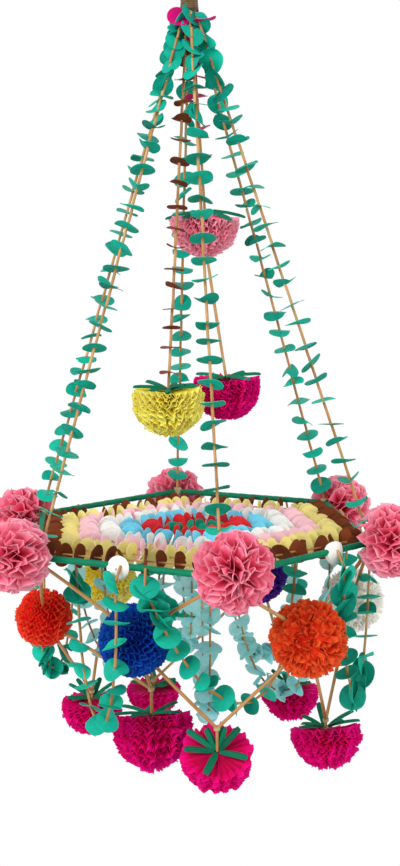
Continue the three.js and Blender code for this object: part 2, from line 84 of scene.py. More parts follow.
lens = bpy.data.cameras.new("photo_camera")
lens.sensor_width = SENSOR
lens.lens = FOCAL_PIXELS * SENSOR / FRAME_HEIGHT
camera = put("photo_camera", lens)
aim = Matrix((right, upward, backward)).transposed().to_4x4()
camera.matrix_world = Matrix.Translation(CAMERA_AT) @ aim
scene.camera = camera
print("lens in mm:", round(lens.lens, 2))

# %% [markdown]
# Light
# Paper looks best in broad soft light. A large lamp on the left does most of the work, a weaker one on the
# right opens the shadows, a third behind lights the far edges, and a plain white world fills the rest.
# The world is pure white where the camera looks straight at it, which gives the white background without
# putting more light on the paper.

# %% World
AMBIENT = 0.8
BACKDROP = 1

scene.view_settings.view_transform = "Standard"
world = bpy.data.worlds.new("white_room")
world.use_nodes = True
scene.world = world
sky = world.node_tree
ambient = sky.nodes["Background"]
white = sky.nodes.new("ShaderNodeBackground")
for background, strength in ((ambient, AMBIENT), (white, BACKDROP)):
    background.inputs["Color"].default_value = (1, 1, 1, 1)
    background.inputs["Strength"].default_value = strength
rays = sky.nodes.new("ShaderNodeLightPath")
seen = rays.outputs["Is Camera Ray"]
for kind in ("Is Glossy Ray", "Is Transmission Ray"):
    either = sky.nodes.new("ShaderNodeMath")
    either.operation = "MAXIMUM"
    sky.links.new(seen, either.inputs[0])
    sky.links.new(rays.outputs[kind], either.inputs[1])
    seen = either.outputs[0]
choose = sky.nodes.new("ShaderNodeMixShader")
sky.links.new(seen, choose.inputs["Fac"])
sky.links.new(ambient.outputs[0], choose.inputs[1])
sky.links.new(white.outputs[0], choose.inputs[2])
sky.links.new(choose.outputs[0], sky.nodes["World Output"].inputs["Surface"])
print("light from the room:", AMBIENT)

# %% Lamps
LAMP_AIM = Vector((0, 0, -0.5))
# Name, place in metres, power in watts and size in metres
LAMPS = [
    ("left_lamp", (-1.5, -1.3, 0.5), 30, 1.1),
    ("right_lamp", (1.6, -1.2, -0.1), 12, 1.4),
    ("back_lamp", (0.5, 1.8, 0.6), 10, 1.2),
]

for name, at, power, size in LAMPS:
    light = bpy.data.lights.new(name, "AREA")
    light.energy = power
    light.size = size
    lamp = put(name, light)
    lamp.location = at
    lamp.rotation_euler = (LAMP_AIM - lamp.location).to_track_quat("-Z", "Y").to_euler()
print("lamps:", len(LAMPS))

# %% [markdown]
# Floor
# The ornament hangs, so the floor lies far below it, and only other views show it. A plain pale disc is
# enough. The small function that sets up its paint makes every other finish too: it opens a new material and
# writes the values that are the same all over on the shader's own sockets.

# %% Floor
FLOOR_LEVEL = -1.9
FLOOR_RADIUS = 1.42
FLOOR_SIDES = 96
FLOOR_GREY = (0.86, 0.86, 0.86, 1)


def new_finish(name, settings):
    """A material, its nodes and its shader, with settings on the shader's sockets."""
    material = bpy.data.materials.new(name)
    material.use_nodes = True
    shader = material.node_tree.nodes["Principled BSDF"]
    for socket, value in settings.items():
        shader.inputs[socket].default_value = value
    return material, material.node_tree, shader


floor_mesh = bpy.data.meshes.new("floor")
circle = bmesh.new()
bmesh.ops.create_circle(circle, cap_ends=True, segments=FLOOR_SIDES, radius=FLOOR_RADIUS)
circle.to_mesh(floor_mesh)
circle.free()
floor_mesh.materials.append(new_finish("pale_floor", {"Base Color": FLOOR_GREY, "Roughness": 0.9})[0])
floor = put("floor", floor_mesh)
floor.location.z = FLOOR_LEVEL
print("floor in metres below the hook:", -FLOOR_LEVEL)

# %% [markdown]
# Places on the chandelier
# Everything below is worked out in millimetres from the middle of the rim, as its maker would measure it.
# The corners are numbered 1 to 6 from the back left, round by the front, and side k follows corner k.
# The function that makes a finished piece moves it to its place under the hook, in metres.

# %% Places
RIM_LEVEL = -569.1
RIM_CORNER = 190.0
CORNERS = range(1, 7)
X_AXIS, Y_AXIS, UP = np.eye(3)
NEARLY_UPRIGHT = 0.9


def heading(degrees):
    """Level unit vector at an angle from +X."""
    return np.array([math.cos(math.radians(degrees)), math.sin(math.radians(degrees)), 0.0])


def corner_heading(k, turn=0.0):
    return heading(90 + 60 * k + turn)


def side_heading(k, turn=0.0):
    return heading(120 + 60 * k + turn)


def unit(vector):
    return vector / np.linalg.norm(vector)


def across(direction):
    """Two unit vectors square to a direction and to each other."""
    side = unit(np.cross(direction, UP if abs(direction[2]) < NEARLY_UPRIGHT else X_AXIS))
    return side, np.cross(direction, side)


corners = [RIM_CORNER * corner_heading(k) for k in CORNERS]
print("front corner of the rim in mm:", corners[2].round(1))

# %% [markdown]
# One way to close a sheet
# A disc, a straw and a layer of tissue are all the same thing to a modeller: a row of closed outlines,
# joined from one to the next. If the last outline joins the first, the result is a ring with no open edge,
# and otherwise both ends get a cap. One small function does this for every piece, so that no sheet is left
# open or one-sided.

# %% Closed sheets
def skin(outlines, uv=None, tint=0.5, round_trip=True):
    """One closed solid over a row of outlines with the same number of points."""
    outlines = np.asarray(outlines, float)
    count, size = outlines.shape[:2]
    index = np.arange(count * size).reshape(count, size)
    here = index if round_trip else index[:-1]
    there = np.roll(index, -1, 0) if round_trip else index[1:]
    quads = np.stack([here, np.roll(here, -1, 1), np.roll(there, -1, 1), there], -1)
    faces = quads.reshape(-1, 4).tolist()
    if not round_trip:
        faces += [index[0][::-1].tolist(), index[-1].tolist()]
    if uv is None:
        uv = np.stack(np.meshgrid(np.arange(size) / size, np.arange(count) / count), -1)
    return {
        "points": outlines.reshape(-1, 3),
        "faces": faces,
        "uv": np.broadcast_to(uv, (count, size, 2)).reshape(-1, 2),
        "tint": np.full(count * size, tint),
    }


trial = skin(np.zeros((2, 4, 3)), round_trip=False)
print("faces of a box made from two squares:", len(trial["faces"]))

# %% [markdown]
# A finished piece is many such solids in one Blender object. Its mesh also keeps two things for the finish:
# where each point lies on its own sheet, and the tint of that sheet. The object then rides on the part, and
# it may stand for one of the part's plain solids, which is hidden.

# %% Joining parts
MM = 0.001
CREASE = math.radians(48)


def joined(name, parts):
    """One mesh of all parts, in metres under the hook, with every face turned outwards."""
    points = np.concatenate([part["points"] for part in parts]) + (0, 0, RIM_LEVEL)
    faces = []
    start = 0
    for part in parts:
        faces += [[start + corner for corner in face] for face in part["faces"]]
        start += len(part["points"])
    mesh = bpy.data.meshes.new(name)
    mesh.from_pydata((points * MM).tolist(), [], faces)
    shape = bmesh.new()
    shape.from_mesh(mesh)
    bmesh.ops.recalc_face_normals(shape, faces=shape.faces)
    shape.to_mesh(mesh)
    shape.free()
    mesh.shade_smooth()
    mesh.set_sharp_from_angle(angle=CREASE)
    return mesh


print("sharp from this angle, in degrees:", round(math.degrees(CREASE)))

# %% Pieces
def make_piece(name, parts, finish, stands_for=()):
    """One object of all parts, with its finish, that rides on the part."""
    mesh = joined(name, parts)
    point_of = np.zeros(len(mesh.loops), np.int32)
    mesh.loops.foreach_get("vertex_index", point_of)
    uv = np.concatenate([part["uv"] for part in parts]).astype(np.float32)
    mesh.uv_layers.new(name="sheet").data.foreach_set("uv", uv[point_of].ravel())
    tint = np.concatenate([part["tint"] for part in parts]).astype(np.float32)
    mesh.attributes.new("tint", "FLOAT", "POINT").data.foreach_set("value", tint)
    mesh.materials.append(finish)
    piece = put(name, mesh)
    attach(piece, "root")
    if stands_for:
        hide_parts(*stands_for)
    return piece


def faces_in(pieces):
    return sum(len(piece.data.polygons) for piece in pieces)


print("ready to make pieces")

# %% [markdown]
# Paper, straw, cord and tissue
# The discs are cut from coloured paper: matte, a little mottled, with fibres that catch the light. No two
# discs have quite the same shade, so the finish reads the tint number that each one carries.
# Colours are written as the usual six-digit codes and turned into the linear values that shaders take.
# A few helpers then add one node each, so that a finish reads as a short list of what it shows.

# %% Colour codes
def colour(code, scale=1.0):
    """Linear colour for a shader from a six-digit code."""
    parts = [int(code[i:i + 2], 16) / 255 for i in (0, 2, 4)]
    linear = [p / 12.92 if p <= 0.04045 else ((p + 0.055) / 1.055) ** 2.4 for p in parts]
    return (*[min(1.0, scale * p) for p in linear], 1.0)


print("middle grey as a linear value:", round(colour("808080")[0], 3))

# %% Finish nodes
def place_of(tree, kind):
    """Where a point is: Object in metres, or UV on its own sheet."""
    return tree.nodes.new("ShaderNodeTexCoord").outputs[kind]


def tint_of(tree):
    made = tree.nodes.new("ShaderNodeAttribute")
    made.attribute_name = "tint"
    return made.outputs["Fac"]


def noise(tree, source, scale, detail):
    made = tree.nodes.new("ShaderNodeTexNoise")
    made.inputs["Scale"].default_value = scale
    made.inputs["Detail"].default_value = detail
    tree.links.new(source, made.inputs["Vector"])
    return made.outputs["Fac"]


def sum_of(tree, first, second, first_share, second_share, offset=0.0):
    """First and second in given shares, as one number."""
    part = tree.nodes.new("ShaderNodeMath")
    part.operation = "MULTIPLY_ADD"
    part.inputs[1].default_value = first_share
    part.inputs[2].default_value = offset
    tree.links.new(first, part.inputs[0])
    whole = tree.nodes.new("ShaderNodeMath")
    whole.operation = "MULTIPLY_ADD"
    whole.inputs[1].default_value = second_share
    tree.links.new(second, whole.inputs[0])
    tree.links.new(part.outputs[0], whole.inputs[2])
    return whole.outputs[0]


print("numbers for the finishes ready")

# %% Colour, roughness and relief
def paint(tree, shader, source, stops):
    """Colour that follows a number through (place, colour) stops."""
    made = tree.nodes.new("ShaderNodeValToRGB")
    band = made.color_ramp
    band.elements[0].position, band.elements[0].color = stops[0]
    band.elements[1].position, band.elements[1].color = stops[-1]
    for place, shade in stops[1:-1]:
        band.elements.new(place).color = shade
    tree.links.new(source, made.inputs["Fac"])
    tree.links.new(made.outputs["Color"], shader.inputs["Base Color"])


def vary_roughness(tree, shader, source, low, high):
    made = tree.nodes.new("ShaderNodeMapRange")
    made.inputs["To Min"].default_value = low
    made.inputs["To Max"].default_value = high
    tree.links.new(source, made.inputs["Value"])
    tree.links.new(made.outputs["Result"], shader.inputs["Roughness"])


def raise_surface(tree, shader, source, strength, distance):
    """Bump on the shader from a number."""
    made = tree.nodes.new("ShaderNodeBump")
    made.inputs["Strength"].default_value = strength
    made.inputs["Distance"].default_value = distance
    tree.links.new(source, made.inputs["Height"])
    tree.links.new(made.outputs["Normal"], shader.inputs["Normal"])


def lit_through(weight, depth):
    """Settings for a thin sheet that lets some light through; depth is in metres."""
    return {"Subsurface Weight": weight, "Subsurface Radius": (1, 1, 1), "Subsurface Scale": depth}


print("finish helpers ready")

# %% Paper
def paper(name, code, glow=0.0, dark=0.62, pale=1.3):
    """Coloured paper: its shade follows the disc's tint and a faint mottle, with fibres in its surface."""
    material, tree, shader = new_finish(name, {"Specular IOR Level": 0.18, **lit_through(glow, depth=0.006)})
    spot = place_of(tree, "Object")
    mottle = noise(tree, spot, scale=210, detail=3)
    fibre = noise(tree, spot, scale=1500, detail=4)
    shade = sum_of(tree, tint_of(tree), mottle, 0.75, 0.5, -0.12)
    paint(tree, shader, shade, [(0.0, colour(code, dark)), (0.5, colour(code)), (1.0, colour(code, pale))])
    vary_roughness(tree, shader, fibre, low=0.62, high=0.86)
    raise_surface(tree, shader, fibre, strength=0.3, distance=0.0006)
    return material


teal_paper = paper("teal_paper", "00a28a", dark=0.42, pale=1.6)
swag_paper = paper("swag_paper", "10ac92", dark=0.6, pale=1.55)
aqua_paper = paper("aqua_paper", "74d4d6", glow=0.6, dark=0.66, pale=1.8)
brown_paper = paper("brown_paper", "733413")
magenta_paper = paper("magenta_paper", "c8006f")
white_paper = paper("white_paper", "f1efe9", dark=0.88, pale=1.05)
leaf_paper = paper("leaf_paper", "006e50", dark=0.55, pale=1.5)
print("papers made")

# %% [markdown]
# Straw is a hollow stem: pale gold, with fine darker streaks along its length and a slight natural shine.
# The streaks need to run along each straw whichever way it points, so they are painted in the straw's own
# sheet coordinates: the first goes round the stem and the second along it. Cord is matte and hairy, so its
# colour comes from fine fibres and larger tufts, with a little sheen.

# %% Straw
def stretched(tree, source, round_scale, long_scale):
    made = tree.nodes.new("ShaderNodeMapping")
    made.inputs["Scale"].default_value = (round_scale, long_scale, 1)
    tree.links.new(source, made.inputs["Vector"])
    return made.outputs["Vector"]


def straw_finish(name, pale, middle, dark):
    material, tree, shader = new_finish(name, {})
    sheet = place_of(tree, "UV")
    streak = noise(tree, stretched(tree, sheet, 9, 0.02), scale=1.0, detail=3)
    patch = noise(tree, stretched(tree, sheet, 1, 0.06), scale=1.0, detail=2)
    shade = sum_of(tree, sum_of(tree, streak, patch, 0.55, 0.45), tint_of(tree), 1.0, 0.5, -0.25)
    paint(tree, shader, shade, [(0.12, colour(dark)), (0.5, colour(middle)), (0.85, colour(pale))])
    vary_roughness(tree, shader, streak, low=0.34, high=0.58)
    raise_surface(tree, shader, streak, strength=0.35, distance=0.0004)
    return material


straw = straw_finish("straw", "d9b078", "b98346", "744819")
print("straw made")

# %% Cord
def cord_finish(name, dark, pale):
    material, tree, shader = new_finish(name, {"Sheen Weight": 0.3})
    spot = place_of(tree, "Object")
    fibre = noise(tree, spot, scale=1800, detail=4)
    tuft = noise(tree, spot, scale=260, detail=2)
    paint(tree, shader, sum_of(tree, fibre, tuft, 0.6, 0.5), [(0.3, colour(dark)), (0.75, colour(pale))])
    vary_roughness(tree, shader, fibre, low=0.8, high=0.95)
    raise_surface(tree, shader, fibre, strength=0.5, distance=0.0006)
    return material


jute = cord_finish("jute_cord", "3a2610", "7a5a2c")
thread = cord_finish("thread", "9a8458", "d2be92")
print("cords made")

# %% [markdown]
# Tissue is thinner than the disc paper and lets some light through, so it gets a little subsurface
# scattering. Its colour also carries painted shade. It is deep and strong at the root of each layer, standing
# for the shade and the light bounced from sheet to sheet deep in a pompom, and pale at the edges. The second
# sheet coordinate runs from the root of a layer to its edge and drives that painted shade.

# %% Tissue
def tissue(name, root_shade, middle, pale, glow=0.2):
    material, tree, shader = new_finish(name, {"Specular IOR Level": 0.1, **lit_through(glow, depth=0.003)})
    sheet = place_of(tree, "UV")
    shade_from_root = tree.nodes.new("ShaderNodeSeparateXYZ")
    tree.links.new(sheet, shade_from_root.inputs["Vector"])
    crinkle = noise(tree, stretched(tree, sheet, 46, 3), scale=1.0, detail=3)
    fibre = noise(tree, place_of(tree, "Object"), scale=1300, detail=3)
    # Painted shade: the colour is darkest at the root of each layer and palest at its edge, with crinkle and
    # tint mixed in.
    shade = sum_of(tree, shade_from_root.outputs["Y"], crinkle, 0.95, 0.3, -0.17)
    shade = sum_of(tree, shade, tint_of(tree), 1.0, 0.3, -0.15)
    paint(tree, shader, shade, [(0.3, colour(root_shade)), (0.72, colour(middle)), (1.0, colour(pale))])
    vary_roughness(tree, shader, fibre, low=0.7, high=0.92)
    raise_surface(tree, shader, crinkle, strength=0.4, distance=0.0012)
    return material


pink_tissue = tissue("pink_tissue", "f2426e", "fb7a9b", "ffb2c4")
magenta_tissue = tissue("magenta_tissue", "b0003a", "dc005c", "f00686")
print("first tissues made")

# %% [markdown]
# Straws
# A straw is a thin tube, so it is made as one: an outer wall, an inner wall and a rim at each end. The path
# may bend, and each outline is set square to it. Straw is never quite round or straight, so the radius
# wavers, and a long straw swells at the rings where the stem had its leaves.

# %% Tubes
STREAK_SHIFT = np.array([7.3, 911])


def measured(points):
    """The points of a path, and how far along it each one lies."""
    points = np.asarray(points, float)
    return points, np.concatenate([[0], np.cumsum(np.linalg.norm(np.diff(points, axis=0), axis=1))])


def angles_round(count):
    return np.linspace(0, math.tau, count, endpoint=False)


def ring(angles, u, v):
    """Points at these angles on a circle of radius one, from u towards v."""
    return np.cos(angles)[:, None] * u + np.sin(angles)[:, None] * v


def tube(path, radius, sides=8, bore=0.7, tint=0.5, swell=None):
    """A hollow tube along a path; its coordinates shift with the tint, so that streaks differ."""
    path, lengths = measured(path)
    swell = np.ones(len(path)) if swell is None else swell
    outer = []
    inner = []
    for point, step, size in zip(path, np.gradient(path, axis=0), swell):
        section = ring(angles_round(sides), *across(unit(step)))
        outer.append(point + radius * size * section)
        inner.append(point + radius * bore * section)
    along = np.concatenate([lengths, lengths[::-1]])
    uv = np.stack(np.broadcast_arrays((np.arange(sides) / sides)[None, :], along[:, None]), -1)
    return skin(outer + inner[::-1], uv + STREAK_SHIFT * tint, tint)


print("points on a straw's section:", len(angles_round(8)))

# %% Straws
SHORT_STEPS = 3
LONG_STEPS = 13
WAVER = 0.03
JOINT_SWELL = 0.12
JOINT_WIDTH = 0.03


def straw_tube(start, end, radius, rng, bow, joints):
    """A straw between two points, a little bowed, with a faint swelling at its joints."""
    t = np.linspace(0, 1, LONG_STEPS if joints else SHORT_STEPS)
    line = start + (end - start) * t[:, None]
    u, v = across(unit(end - start))
    lean = rng.uniform(0, math.tau)
    line = line + bow * np.sin(math.pi * t)[:, None] * (math.cos(lean) * u + math.sin(lean) * v)
    swell = 1 + WAVER * np.sin(9 * t + lean)
    for _ in range(joints):
        swell += JOINT_SWELL * np.exp(-(((t - rng.uniform(0.15, 0.85)) / JOINT_WIDTH) ** 2))
    return tube(line, radius, tint=rng.uniform(0.2, 0.8), swell=swell)


trial = straw_tube(np.zeros(3), 20 * UP, 1.5, np.random.default_rng(1), bow=0, joints=0)
print("faces in a short straw:", len(trial["faces"]))

# %% [markdown]
# Paper discs
# Each disc is a circle of paper with a small hole. Threading creases it across the middle, so it stands as
# two wings, and the wings curl. The crease pulls the outline in at both its ends, which is why many discs
# look heart-shaped. The amounts are drawn from a seeded generator: every disc differs, and every run is the
# same.

# %% Turning a piece
def turned(points, centre, direction, spin, tilt, towards=None):
    """Points made round +Z, spun, tilted and set along a direction, facing towards a side if asked."""
    u, v = across(direction)
    if towards is not None:
        v = -unit(towards - (towards @ direction) * direction)
        u = np.cross(v, direction)
    c, s = math.cos(spin), math.sin(spin)
    points = points @ np.array([[c, s, 0], [-s, c, 0], [0, 0, 1]])
    c, s = math.cos(tilt), math.sin(tilt)
    points = points @ np.array([[1, 0, 0], [0, c, s], [0, -s, c]])
    return centre + points @ np.stack([u, v, direction])


print("+Z laid along +X:", turned(UP, np.zeros(3), X_AXIS, 0.0, 0.0))

# %% Paper disc
DISC_STEPS = 22
DISC_STOPS = np.array([0.0, 0.42, 0.76, 1.0])
DISC_HOLE = 0.9
DISC_THICK = 0.45
WING_LIMIT = 62
NOTCH_LIMIT = 0.22


def paper_disc(centre, direction, radius, rng, tilt, fold, cup=0.05, ripple=0.05, spin=None, face=None):
    """A creased, curled disc; tilt and fold are the spread of its lean and of its wings, in degrees.

    With a face it stands along the string and looks roughly that way."""
    angle = angles_round(DISC_STEPS)[:, None]
    phase = rng.uniform(0, math.tau, 3)
    wing = math.radians(np.clip(rng.normal(0, fold), -WING_LIMIT, WING_LIMIT))
    notch = min(NOTCH_LIMIT, abs(math.sin(wing)) * 0.3)
    edge = radius * (1 - notch * np.abs(np.cos(angle)) ** 9) * (1 + 0.022 * np.sin(3 * angle + phase[0]))
    reach = DISC_HOLE + (edge - DISC_HOLE) * DISC_STOPS
    x, y = reach * np.cos(angle), reach * np.sin(angle)
    share = reach / radius
    lift = np.sqrt(y * y + 2.0) * math.sin(wing)
    lift += radius * share ** 2 * (rng.normal(0, cup) + rng.normal(0, ripple) * np.sin(2 * angle + phase[1]))
    lift += radius * share ** 3 * rng.normal(0, ripple * 0.6) * np.sin(3 * angle + phase[2])
    flat = np.stack([x, y * math.cos(wing), lift], -1)
    half = DISC_THICK / 2 * UP
    outline = np.concatenate([flat + half, (flat - half)[:, ::-1]], 1)
    lean = math.radians(rng.normal(0, tilt) if face is None else rng.uniform(50, 85))
    towards = rng.normal(0, 1, 3) if face is None else face + rng.normal(0, 0.45, 3)
    turn = rng.uniform(0, math.tau) if spin is None else spin
    placed = turned(outline, centre, direction, turn, lean, towards)
    sheet = np.stack([x, y], -1) / (2 * radius) + 0.5
    return skin(placed, np.concatenate([sheet, sheet[:, ::-1]], 1), np.clip(rng.normal(0.5, 0.2), 0, 1))


trial = paper_disc(np.zeros(3), UP, 13, np.random.default_rng(1), tilt=10, fold=14)
print("faces in one disc:", len(trial["faces"]))

# %% [markdown]
# Strings of straws and discs
# All the strands and garlands are threaded the same way: a disc, a short straw, a disc, and so on. Straws
# are straight, so a hanging garland is really a chain of short straight pieces with a disc at each joint.
# A string takes the places of its discs along a path, and cuts a straw to fit between each two.

# %% Threading a string
STRAW_GAP = 0.3
STRAW_PLAY = 0.25
SHORT_BOW = 0.15
THREAD_RADIUS = 0.5


def on_path(path, distance):
    """Point and direction at a distance along a measured path."""
    points, lengths = path

    def place(at):
        return np.array([np.interp(at, lengths, points[:, i]) for i in range(3)])

    step = place(min(distance + 1, lengths[-1])) - place(max(distance - 1, 0))
    return place(distance), unit(step)


def cut_straws(path, stops, radius, rng):
    """Straws between the stops of a string, and the thread through them."""
    parts = []
    ends = [on_path(path, stop)[0] for stop in stops]
    for start, end in zip(ends[:-1], ends[1:]):
        reach = unit(end - start) * STRAW_GAP
        sway = rng.normal(0, STRAW_PLAY, 3)
        parts.append(straw_tube(start + reach + sway, end - reach + sway, radius, rng, SHORT_BOW, joints=0))
    return [*parts, tube(ends, THREAD_RADIUS, sides=5, bore=0.4)]


def make_string(name, discs, straws, finish, node):
    """The discs of a string, which stand for its solid, and its straws, as two pieces."""
    made = make_piece(f"{name}_discs", discs, finish, [node])
    make_piece(f"{name}_straws", straws, straw)
    return made


print("threading ready")

# %% [markdown]
# The six strands
# Each strand runs from a corner of the rim to the tie, about 55 cm, with some thirty teal discs. Low down
# the discs lie almost square to the straw. Near the top six strands meet, so the discs push each other up
# until they stand along the straws in a ruff below the tie.

# %% Strand places
STRAND_FOOT = 4.5
STRAND_TOP = 529.3
STRAND_GATHER = 6.6
RUFF_BELOW_TOP = 150
RUFF_GROWS_OVER = 120


def strand_ends(k):
    """Foot of strand k on the rim, and its top in the tie."""
    out = corner_heading(k)
    return RIM_CORNER * out + STRAND_FOOT * UP, STRAND_GATHER * out + STRAND_TOP * UP


def crowding(distance, length):
    """How crowded a strand is at a distance from its foot: 0 low down, 1 in the ruff."""
    return np.clip((distance - (length - RUFF_BELOW_TOP)) / RUFF_GROWS_OVER, 0, 1)


print("strand length in mm:", round(measured(strand_ends(1))[1][-1], 1))

# %% Strands
DISC = 13.0
STRAND_STRAW = 1.45
STRAND_PITCH = 20.6
STRAND_PUSHED = 9.5
STRAND_FIRST = 17
STRAND_LAST = 16
STANDING_FOLD = 36
LYING_FOLD = 20

strands = []
for k in CORNERS:
    rng = np.random.default_rng(100 + k)
    path = measured(strand_ends(k))
    length = path[1][-1]
    stops = [STRAND_FIRST + 3 * rng.random()]
    while stops[-1] < length - STRAND_LAST:
        pushed = STRAND_PUSHED * crowding(stops[-1], length)
        stops.append(stops[-1] + STRAND_PITCH - pushed + rng.normal(0, 1.2))
    discs = []
    for stop in stops:
        at, direction = on_path(path, stop)
        crowd = crowding(stop, length)
        stands = rng.random() < 1.2 * crowd
        size = DISC * rng.uniform(0.94, 1.05) * (0.94 if stands else 1)
        face = corner_heading(k, rng.uniform(-75, 75)) if stands else None
        tilt = 13 + 20 * crowd
        fold = STANDING_FOLD if stands else LYING_FOLD
        discs.append(paper_disc(at, direction, size, rng, tilt, fold, face=face))
    straws = cut_straws(path, [0, *stops, length], STRAND_STRAW, rng)
    strands.append(make_string(f"strand_{k}", discs, straws, teal_paper, f"strand_{k}"))
print("discs on a strand:", len(stops), "faces:", faces_in(strands))

# %% [markdown]
# The rim
# Six stiff tubes are wound with a strip of green paper and tied at the corners. The winding shows as a low
# step that runs round the tube in a spiral, so the step is modelled: the radius grows slowly round the
# spiral and drops back where the next turn of paper begins. The tubes are open at their ends.

# %% Rim paper
def wound_paper(name, code):
    material, tree, shader = new_finish(name, {"Specular IOR Level": 0.15})
    spot = place_of(tree, "Object")
    crepe = noise(tree, spot, scale=900, detail=4)
    patch = noise(tree, spot, scale=60, detail=2)
    shade = sum_of(tree, crepe, patch, 0.5, 0.6)
    paint(tree, shader, shade, [(0.25, colour(code, 0.55)), (0.55, colour(code)), (0.85, colour(code, 1.35))])
    vary_roughness(tree, shader, crepe, low=0.45, high=0.7)
    raise_surface(tree, shader, crepe, strength=0.35, distance=0.0008)
    return material


rim_paper = wound_paper("rim_paper", "007654")
print("rim paper made")

# %% Rim
RIM_TUBE = 3.4
RIM_BORE = 0.62
RIM_END = 5.0
RIM_SIDES = 18
WIND_PITCH = 15.0
WIND_STEP = 0.35
WIND_DETAIL = 1.5
BORE_END = 12


def wound_tube(start, end, radius):
    """A tube with a spiral step, hollow at its ends."""
    length = np.linalg.norm(end - start)
    direction = unit(end - start)
    angle = angles_round(RIM_SIDES)
    section = ring(angle, *across(direction))
    outlines = []
    for x in np.linspace(0, length, int(length / WIND_DETAIL)):
        step = (x / WIND_PITCH - angle / math.tau) % 1.0
        outlines.append(start + x * direction + (radius - WIND_STEP * (1 - step))[:, None] * section)
    for x in (length, length - BORE_END, BORE_END, 0):
        outlines.append(start + x * direction + RIM_BORE * radius * section)
    return skin(outlines)


rim_tubes = []
for a, b in zip(corners, [*corners[1:], corners[0]]):
    rim_tubes.append(wound_tube(a + RIM_END * unit(b - a), b - RIM_END * unit(b - a), RIM_TUBE))
rim = make_piece("rim_tubes", rim_tubes, rim_paper, ["rim"])
print("rim faces:", faces_in([rim]))

# %% [markdown]
# At each corner the tubes, the strand and the straws below are lashed together with cord. A lashing is a
# cord that goes round and round, so it is swept along a tight coil rather than cut from a block.

# %% Corner lashings
COIL_STEPS = 16
LASH_ARM = 9


def coil(centre, axis, radius, cord, turns, pitch):
    """Cord wound in a spiral round an axis."""
    t = np.linspace(0, turns, turns * COIL_STEPS)
    circles = radius * ring(math.tau * t, *across(axis))
    return tube(centre + circles + ((t - turns / 2) * pitch)[:, None] * axis, cord, sides=6, bore=0.3)


lashings = []
for k, corner in enumerate(corners, 1):
    lashings.append(coil(corner, np.cross(corner_heading(k), UP), radius=4.6, cord=0.9, turns=5, pitch=1.7))
    lashings.append(coil(corner - 4.4 * UP, UP, radius=3.2, cord=0.8, turns=3, pitch=1.5))
    before = corner - LASH_ARM * side_heading(k - 1, -90)
    after = corner + LASH_ARM * side_heading(k, 90)
    lashings.append(tube([before, corner, after], 1.9, sides=8, bore=0.3))
make_piece("corner_lashings", lashings, thread)
print("lashings:", len(lashings))

# %% [markdown]
# The web
# Cords run from corner to corner through the middle. On them lie seven hexagonal strings, each with discs
# of one colour, standing upright like tiles in a row: brown by the rim, then yellow, pink, white, blue, red
# and green. The web is heavy, so it hangs a little below the rim and slopes to the back. It is easier to lay
# out flat, so it is made level first, and one function then tips and lowers every point of it.

# %% Web slope
WEB_SAG = 7.0
WEB_SLOPE = 0.041
WEB_TILT = math.atan(WEB_SLOPE)


def tipped(points, angle):
    """Points turned about the X axis, so that what was up leans to the back."""
    x, y, z = np.moveaxis(np.asarray(points, float), -1, 0)
    c, s = math.cos(angle), math.sin(angle)
    return np.stack([x, c * y + s * z, c * z - s * y], -1)


def on_web(points):
    return tipped(points, WEB_TILT) - WEB_SAG * UP


print("middle of the web in mm:", on_web(0 * UP))

# %% Web cords
WEB_CORNER = 172.1
WEB_CORD_END = 184.8
WEB_CORD = 1.0
WEB_CORD_LEVEL = 0.9
CORD_TWIST = 0.12
CORD_SIDES = 8


def plied_cord(start, end, radius):
    """Two-ply cord: a section with two lobes, twisted along its length."""
    length = np.linalg.norm(end - start)
    direction = unit(end - start)
    u, v = across(direction)
    angle = angles_round(CORD_SIDES)
    lobes = radius * (0.72 + 0.28 * np.cos(2 * angle))
    outlines = []
    for x in np.linspace(0, length, int(length * CORD_TWIST * CORD_SIDES)):
        twist = angle + math.tau * CORD_TWIST * x
        outlines.append(start + x * direction + lobes[:, None] * ring(twist, u, v))
    return skin(outlines, round_trip=False)


web_cords = []
for k in CORNERS:
    bend = on_web(WEB_CORNER * corner_heading(k) + WEB_CORD_LEVEL * UP)
    web_cords.append(plied_cord(WEB_CORD_END * corner_heading(k), bend, WEB_CORD))
    web_cords.append(plied_cord(bend, on_web(WEB_CORD_LEVEL * UP), WEB_CORD))
make_piece("web_cords_twisted", web_cords, thread, ["web_cords"])
print("web cords:", len(web_cords))

# %% [markdown]
# A row of the web is six short strings, one for each side of its hexagon. The left and right sides of the
# rows lie further out than the rest, so each corner is worked out as the place where two sides meet. The
# brown row stands up a little at the left and right, and its discs are crushed at the front right.

# %% Row corners
WEB_LEVEL = 4.0
WEB_FIRST = 149.0
WEB_STEP = 22.5
WEB_BULGE = 10.5
WEB_FIRST_BULGE = 1.5


def row_corner(k, inset, bulge):
    """Where side k - 1 of a row meets side k; the left and right sides lie further out by the bulge."""
    near, far = [inset + (bulge if side % 3 == 1 else 0) for side in (k - 1, k)]
    share = (far - near / 2) / 0.75
    return (near - share / 2) * side_heading(k - 1) + share * side_heading(k) + WEB_LEVEL * UP


print("front corner of the brown row in mm:", row_corner(3, WEB_FIRST, WEB_FIRST_BULGE).round(1))

# %% Web rows
WEB_DISC = 12.6
WEB_STRAW = 0.9
BROWN_RISE = 4
END_MARGIN = 1
# Name, colour, discs on a side, and how dark and pale the shades go
ROWS = [
    ("brown", "733413", 10, 0.62, 1.35),
    ("yellow", "f0e07c", 12, 0.85, 1.1),
    ("pale_pink", "f8c0cc", 10, 0.88, 1.06),
    ("white", "f3f1ec", 9, 0.88, 1.04),
    ("sky_blue", "62cbe8", 7, 0.78, 1.2),
    ("red", "d8181e", 5, 0.7, 1.3),
    ("dark_green", "00835f", 2, 0.7, 1.3),
]

